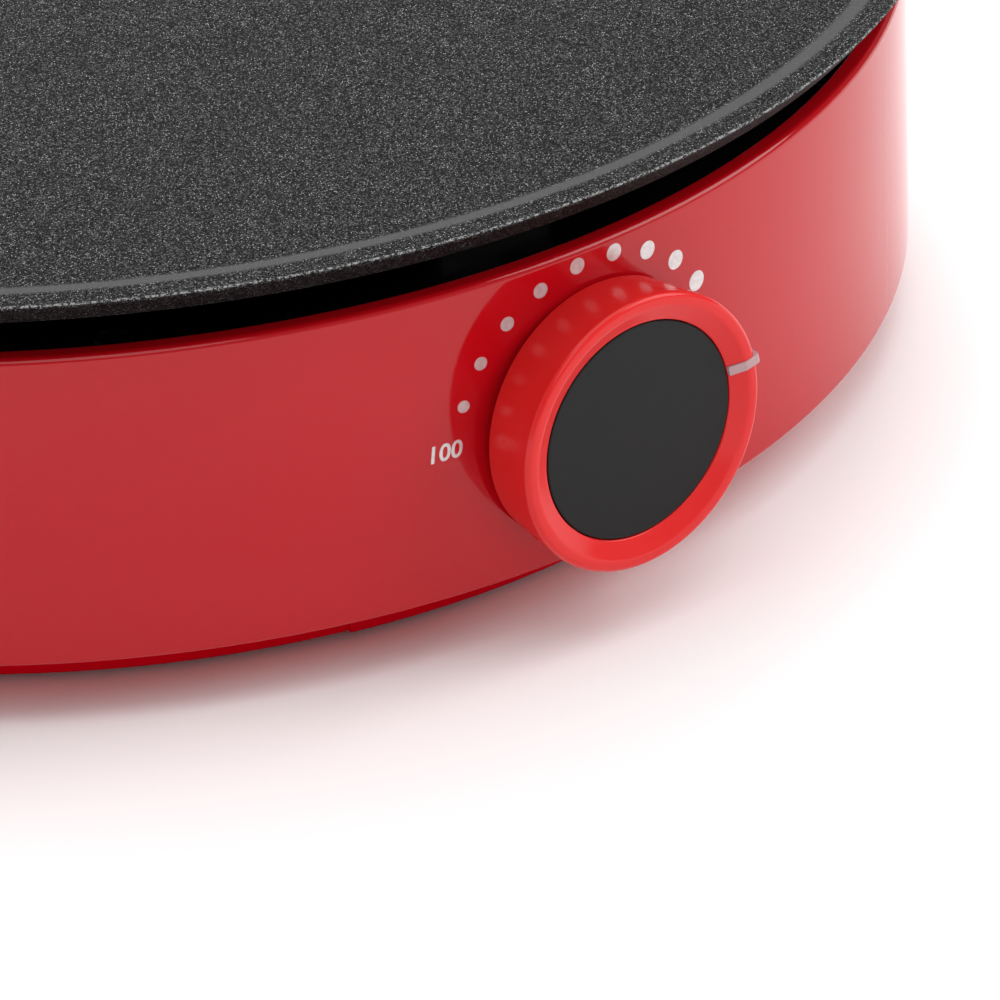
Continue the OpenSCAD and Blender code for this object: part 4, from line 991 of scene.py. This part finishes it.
def cord_gland():
    """Rubber gland with rounded collars, three grooves on its nose and a flared mouth."""
    start = gland_low.y
    nose = gland_high.y
    body = 5.95
    collar = 8.5
    collar_t = 3
    pad_out = GLAND_PAD_OUT
    neck = 3.7
    wide = 4.2
    step = pad_out + 0.1
    outline = [(wide, start, 0.2), (collar, start, 0.7), (collar, start + collar_t, 0.7),
               (body, start + collar_t), (body, pad_out), (collar, pad_out, 0.5),
               (collar, pad_out + collar_t, 1.0), (body, pad_out + collar_t, 0.6)]
    for k in range(3):
        z = pad_out + collar_t + 1.1 + 1.8 * k
        outline += [(body, z, 0.2), (body - 0.7, z + 0.25, 0.2), (body - 0.7, z + 0.85, 0.2),
                    (body, z + 1.1, 0.2)]
    outline += [(body, nose, 0.8), (neck, nose, 0.6), (neck, step), (wide, step)]
    gland = moved(lathe(soften(outline, 4), 96), turn(-90, "X"), shift(z=GLAND_Z))
    piece("gland", gland, GLAND_BLACK, replaces=["cord_gland"])


# ---- Screws ----

def screw(shank, length, head):
    """Pan-head screw, head down: seat at z = 0, shank pointing up, cross recess, rolled thread."""
    head_h = SCREW_HEAD_H
    root = shank / 2 * 0.84
    crest = shank / 2
    pitch = shank * 0.3
    head_r = head / 2
    outline = [(0, -head_h), (head_r * 0.45, -head_h), (head_r * 0.86, -head_h * 0.84),
               (head_r, -head_h * 0.38, 0.3), (head_r, 0, 0.15), (crest, 0), (crest, pitch)]
    turns = int((length - 2.5 * pitch) / pitch)
    for k in range(turns):
        z = pitch * (1 + k)
        outline += [(root, z + pitch * 0.3), (root, z + pitch * 0.45), (crest, z + pitch * 0.75),
                    (crest, z + pitch * 0.9)]
    outline += [(root, length - pitch), (root * 0.55, length), (0, length)]
    body = lathe(soften(outline, 3), 32)
    arm = head * 0.3
    tip = arm * 0.3
    slot_w = 0.5
    drive = []
    for a in (0, 90):
        wedge = [(-arm, -head_h - 1), (arm, -head_h - 1), (arm, -head_h + 0.4), (tip, -head_h * 0.4),
                 (-tip, -head_h * 0.4), (-arm, -head_h + 0.4)]
        drive.append(moved(prism(wedge, -slot_w, slot_w), turn(90, "X"), turn(a)))
    return cut(body, *drive)


def screws():
    """The six groups of screws, each in the place of its CAD node."""
    under = turn(180, "X")
    lug_top = shield_high.z
    strap_z = corners("element_straps")[0].z
    bracket_low, bracket_high = corners("bracket_screws")
    bracket_x = (bracket_low.x + 3, bracket_high.x - 3)
    bracket_y = (bracket_low.y + bracket_high.y) / 2
    block_low, block_high = corners("block_screws")
    block_x = (block_low.x + 2.6, block_high.x - 2.6)
    block_y = (block_low.y + block_high.y) / 2
    base = around(lambda: moved(screw(4, 16, 8), turn(20)), CROSS_ANGLES, BASE_SCREW_R, WELL_TOP)
    shield = around(lambda: moved(screw(3, 11, 6), under), LUG_ANGLES, LUG_R, lug_top)
    reach = UNDER_Z - LEDGE_Z
    earth = 225                 # the screw that also holds the earth tag, and the tag's sheet
    tag_t = 0.8
    plain = [a for a in CROSS_ANGLES if a != earth]
    plate = gathered([around(lambda: screw(4, reach, 8), plain, SPACER_R, LEDGE_Z),
                      around(lambda: screw(4, reach, 8), [earth], SPACER_R, LEDGE_Z - tag_t)])
    pair = [-STRAP_REACH, STRAP_REACH]
    strap_l = UNDER_Z - strap_z
    strap = around(lambda: gathered([moved(screw(3, strap_l, 6), shift(y=y)) for y in pair]),
                   STRAP_ANGLES, ELEMENT_R, strap_z)
    seat = bracket_low.z + SCREW_HEAD_H
    bracket = gathered([moved(screw(3, bracket_high.z - seat, 6), shift(x, bracket_y, seat))
                        for x in bracket_x])
    head_z = block_high.z - SCREW_HEAD_H
    terminal = gathered([moved(screw(3, head_z - block_low.z, 5.2), under, shift(x, block_y, head_z))
                         for x in block_x])
    piece("base_fixings", base, ZINC, replaces=["base_screws"])
    piece("shield_fixings", shield, SCREW_BLACK, replaces=["shield_screws"])
    piece("plate_fixings", plate, ZINC, replaces=["plate_screws"])
    piece("strap_fixings", strap, ZINC, replaces=["strap_screws"])
    piece("bracket_fixings", bracket, ZINC, replaces=["bracket_screws"])
    piece("block_fixings", terminal, ZINC, replaces=["block_screws"])


# ---- Inner parts: the CAD nodes with softened edges, and leads shaded as round ----

def copy_of(node):
    """A CAD node's mesh in millimetres, its faces joined up."""
    mesh = bmesh.new()
    mesh.from_mesh(frame["nodes"][node].data)
    mesh.transform(Matrix.Scale(1 / MM, 4))
    bmesh.ops.remove_doubles(mesh, verts=mesh.verts, dist=1e-3)
    return mesh


def node_body(node):
    """The body that the record gives a CAD node."""
    for body, members in frame["record"]["behaviour"]["bodies"].items():
        if node in members:
            return body


def softened(node, name, material, width):
    """A CAD node with its sharp edges rounded by a width in millimetres."""
    mesh = rounded_edges(copy_of(node), width)
    piece(name, mesh, material, node_body(node), [node])


def lead(node, name, material):
    """A CAD lead, whose eight sides are shaded as one round surface."""
    mesh = copy_of(node)
    bmesh.ops.dissolve_limit(mesh, angle_limit=math.radians(1), verts=mesh.verts, edges=mesh.edges)
    piece(name, mesh, material, node_body(node), [node], smooth=65)


SOFT_EDGES = [
    ("plate_spacers", "spacers", ZINC, 0.3), ("element_seals", "seals", CERAMIC, 0.3),
    ("element_tabs", "tabs", SHEET, 0.12), ("element_straps", "straps", SHEET, 0.2),
    ("shaft_spring", "spring_strip", ZINC, 0.08), ("thermostat_shaft", "shaft", ZINC, 0.25),
    ("thermostat_bush", "bush", BRASS, 0.25), ("bush_nut", "nut", BRASS, 0.3),
    ("thermostat_bracket", "bracket", SHEET, 0.25), ("ceramic_stack", "washers", CERAMIC, 0.3),
    ("stack_rivet", "rivet", ZINC, 0.3), ("leaf_terminal", "leaf_tab", BRASS, 0.08),
    ("fixed_contact", "contact_strip", BRASS, 0.12), ("bimetal_holder", "blade_holder", SHEET, 0.12),
    ("thrust_pin", "ceramic_pin", CERAMIC, 0.3), ("contact_arm", "contact_leaf", BRASS, 0.08),
    ("bimetal_blade", "blade", BIMETAL, 0.12), ("terminal_block", "connector_block", BLOCK_WHITE, 0.4),
    ("wire_clamps", "clamps", BRASS, 0.15), ("thermal_fuse", "fuse", ALUMINIUM, 0.2),
    ("fuse_sleeve", "sleeve", BRAID, 0.2), ("fuse_clip", "clip", SHEET, 0.15),
    ("clip_rivet", "small_rivet", ZINC, 0.2), ("spade_connectors", "connectors", COVER, 0.25),
    ("earth_tag", "tag", BRASS, 0.12)]
LEADS = [("live_lead", "wire_live", BROWN), ("load_lead", "wire_load", BROWN),
         ("fuse_lead", "wire_fuse", WHITE), ("neutral_lead", "wire_neutral", BLUE),
         ("earth_lead", "wire_earth", GREEN)]


def inner_parts():
    """Every inner node; the element's tube keeps its CAD mesh and gets a material."""
    for node, name, material, width in SOFT_EDGES:
        softened(node, name, material, width)
    for node, name, material in LEADS:
        lead(node, name, material)
    tube = frame["nodes"]["heating_element"].data
    tube.materials.clear()
    tube.materials.append(HEATED)


# ---- Floor and light ----

def floor():
    """White ground that takes the shadow; its size is in metres."""
    half = 8
    mesh = bmesh.new()
    at = [(-half, -half, 0), (half, -half, 0), (half, half, 0), (-half, half, 0)]
    mesh.faces.new([mesh.verts.new(p) for p in at])
    data = bpy.data.meshes.new("floor")
    mesh.to_mesh(data)
    mesh.free()
    s = Shader("floor_white", Roughness=0.9, Specular_IOR_Level=0.0)
    s.color(s.mix(s.noise(3, 2), rgb(0.93, 0.93, 0.93), rgb(0.95, 0.95, 0.95)))
    data.materials.append(s.material)
    ground = bpy.data.objects.new("floor", data)
    bpy.context.scene.collection.objects.link(ground)


RIGHT = Vector((0.84, -0.54, 0))      # directions as the photograph shows them
AHEAD = Vector((0.54, 0.84, 0))
UP = Vector((0, 0, 1))
GLOWS = [(-RIGHT, 0.94), (AHEAD, 0.54), ((RIGHT - AHEAD).normalized(), 0.55)]
LAMPS = [("right", RIGHT * 1.5 + UP * 1.1, 42, 1.6), ("top", UP, 58, 1.52),
         ("back", AHEAD * 1.5 + UP * 1.1, 44, 1.8), ("front", UP * 1.9 - AHEAD * 1.9, 35, 0.5)]


def surround():
    """Light from all round, soft, brighter towards some sides; the camera itself sees white."""
    world = bpy.data.worlds.new("studio")
    world.use_nodes = True
    tree = world.node_tree

    def add(kind, operation, inputs):
        """Adds a maths node to the world and gives its result."""
        made = tree.nodes.new(kind)
        made.operation = operation
        for i, value in enumerate(inputs):
            if isinstance(value, bpy.types.NodeSocket):
                tree.links.new(value, made.inputs[i])
            else:
                made.inputs[i].default_value = value
        return made.outputs["Value"]

    direction = tree.nodes.new("ShaderNodeTexCoord").outputs["Generated"]
    total = tree.nodes.new("ShaderNodeLightPath").outputs["Is Camera Ray"]
    for toward, strength in GLOWS:
        facing = add("ShaderNodeVectorMath", "DOT_PRODUCT", (direction, toward))
        facing = add("ShaderNodeMath", "MAXIMUM", (facing, 0))
        share = add("ShaderNodeMath", "POWER", (facing, 2))
        total = add("ShaderNodeMath", "MULTIPLY_ADD", (share, strength, total))
    background = tree.nodes["Background"]
    background.inputs["Color"].default_value = rgb(1, 1, 1)
    tree.links.new(total, background.inputs["Strength"])
    bpy.context.scene.world = world


def soft_lamp(name, toward, spread, strength):
    """Far lamp as wide as a large softbox, its spread in degrees."""
    data = bpy.data.lights.new(name, "SUN")
    data.energy = strength
    data.angle = math.radians(spread)
    lamp = bpy.data.objects.new(name, data)
    lamp.matrix_world = toward.to_track_quat("Z", "Y").to_matrix().to_4x4()
    bpy.context.scene.collection.objects.link(lamp)


def studio_light():
    """The surround and four soft lamps, with colours shown as they are."""
    surround()
    for lamp in LAMPS:
        soft_lamp(*lamp)
    bpy.context.scene.view_settings.view_transform = "Standard"


cooking_plate()
housing_shell()
base_tray()
rubber_feet()
heat_shield()
knob_ring()
knob_pointer()
knob_cap()
scale_dots()
scale_numbers()
cord_gland()
screws()
inner_parts()
floor()
studio_light()
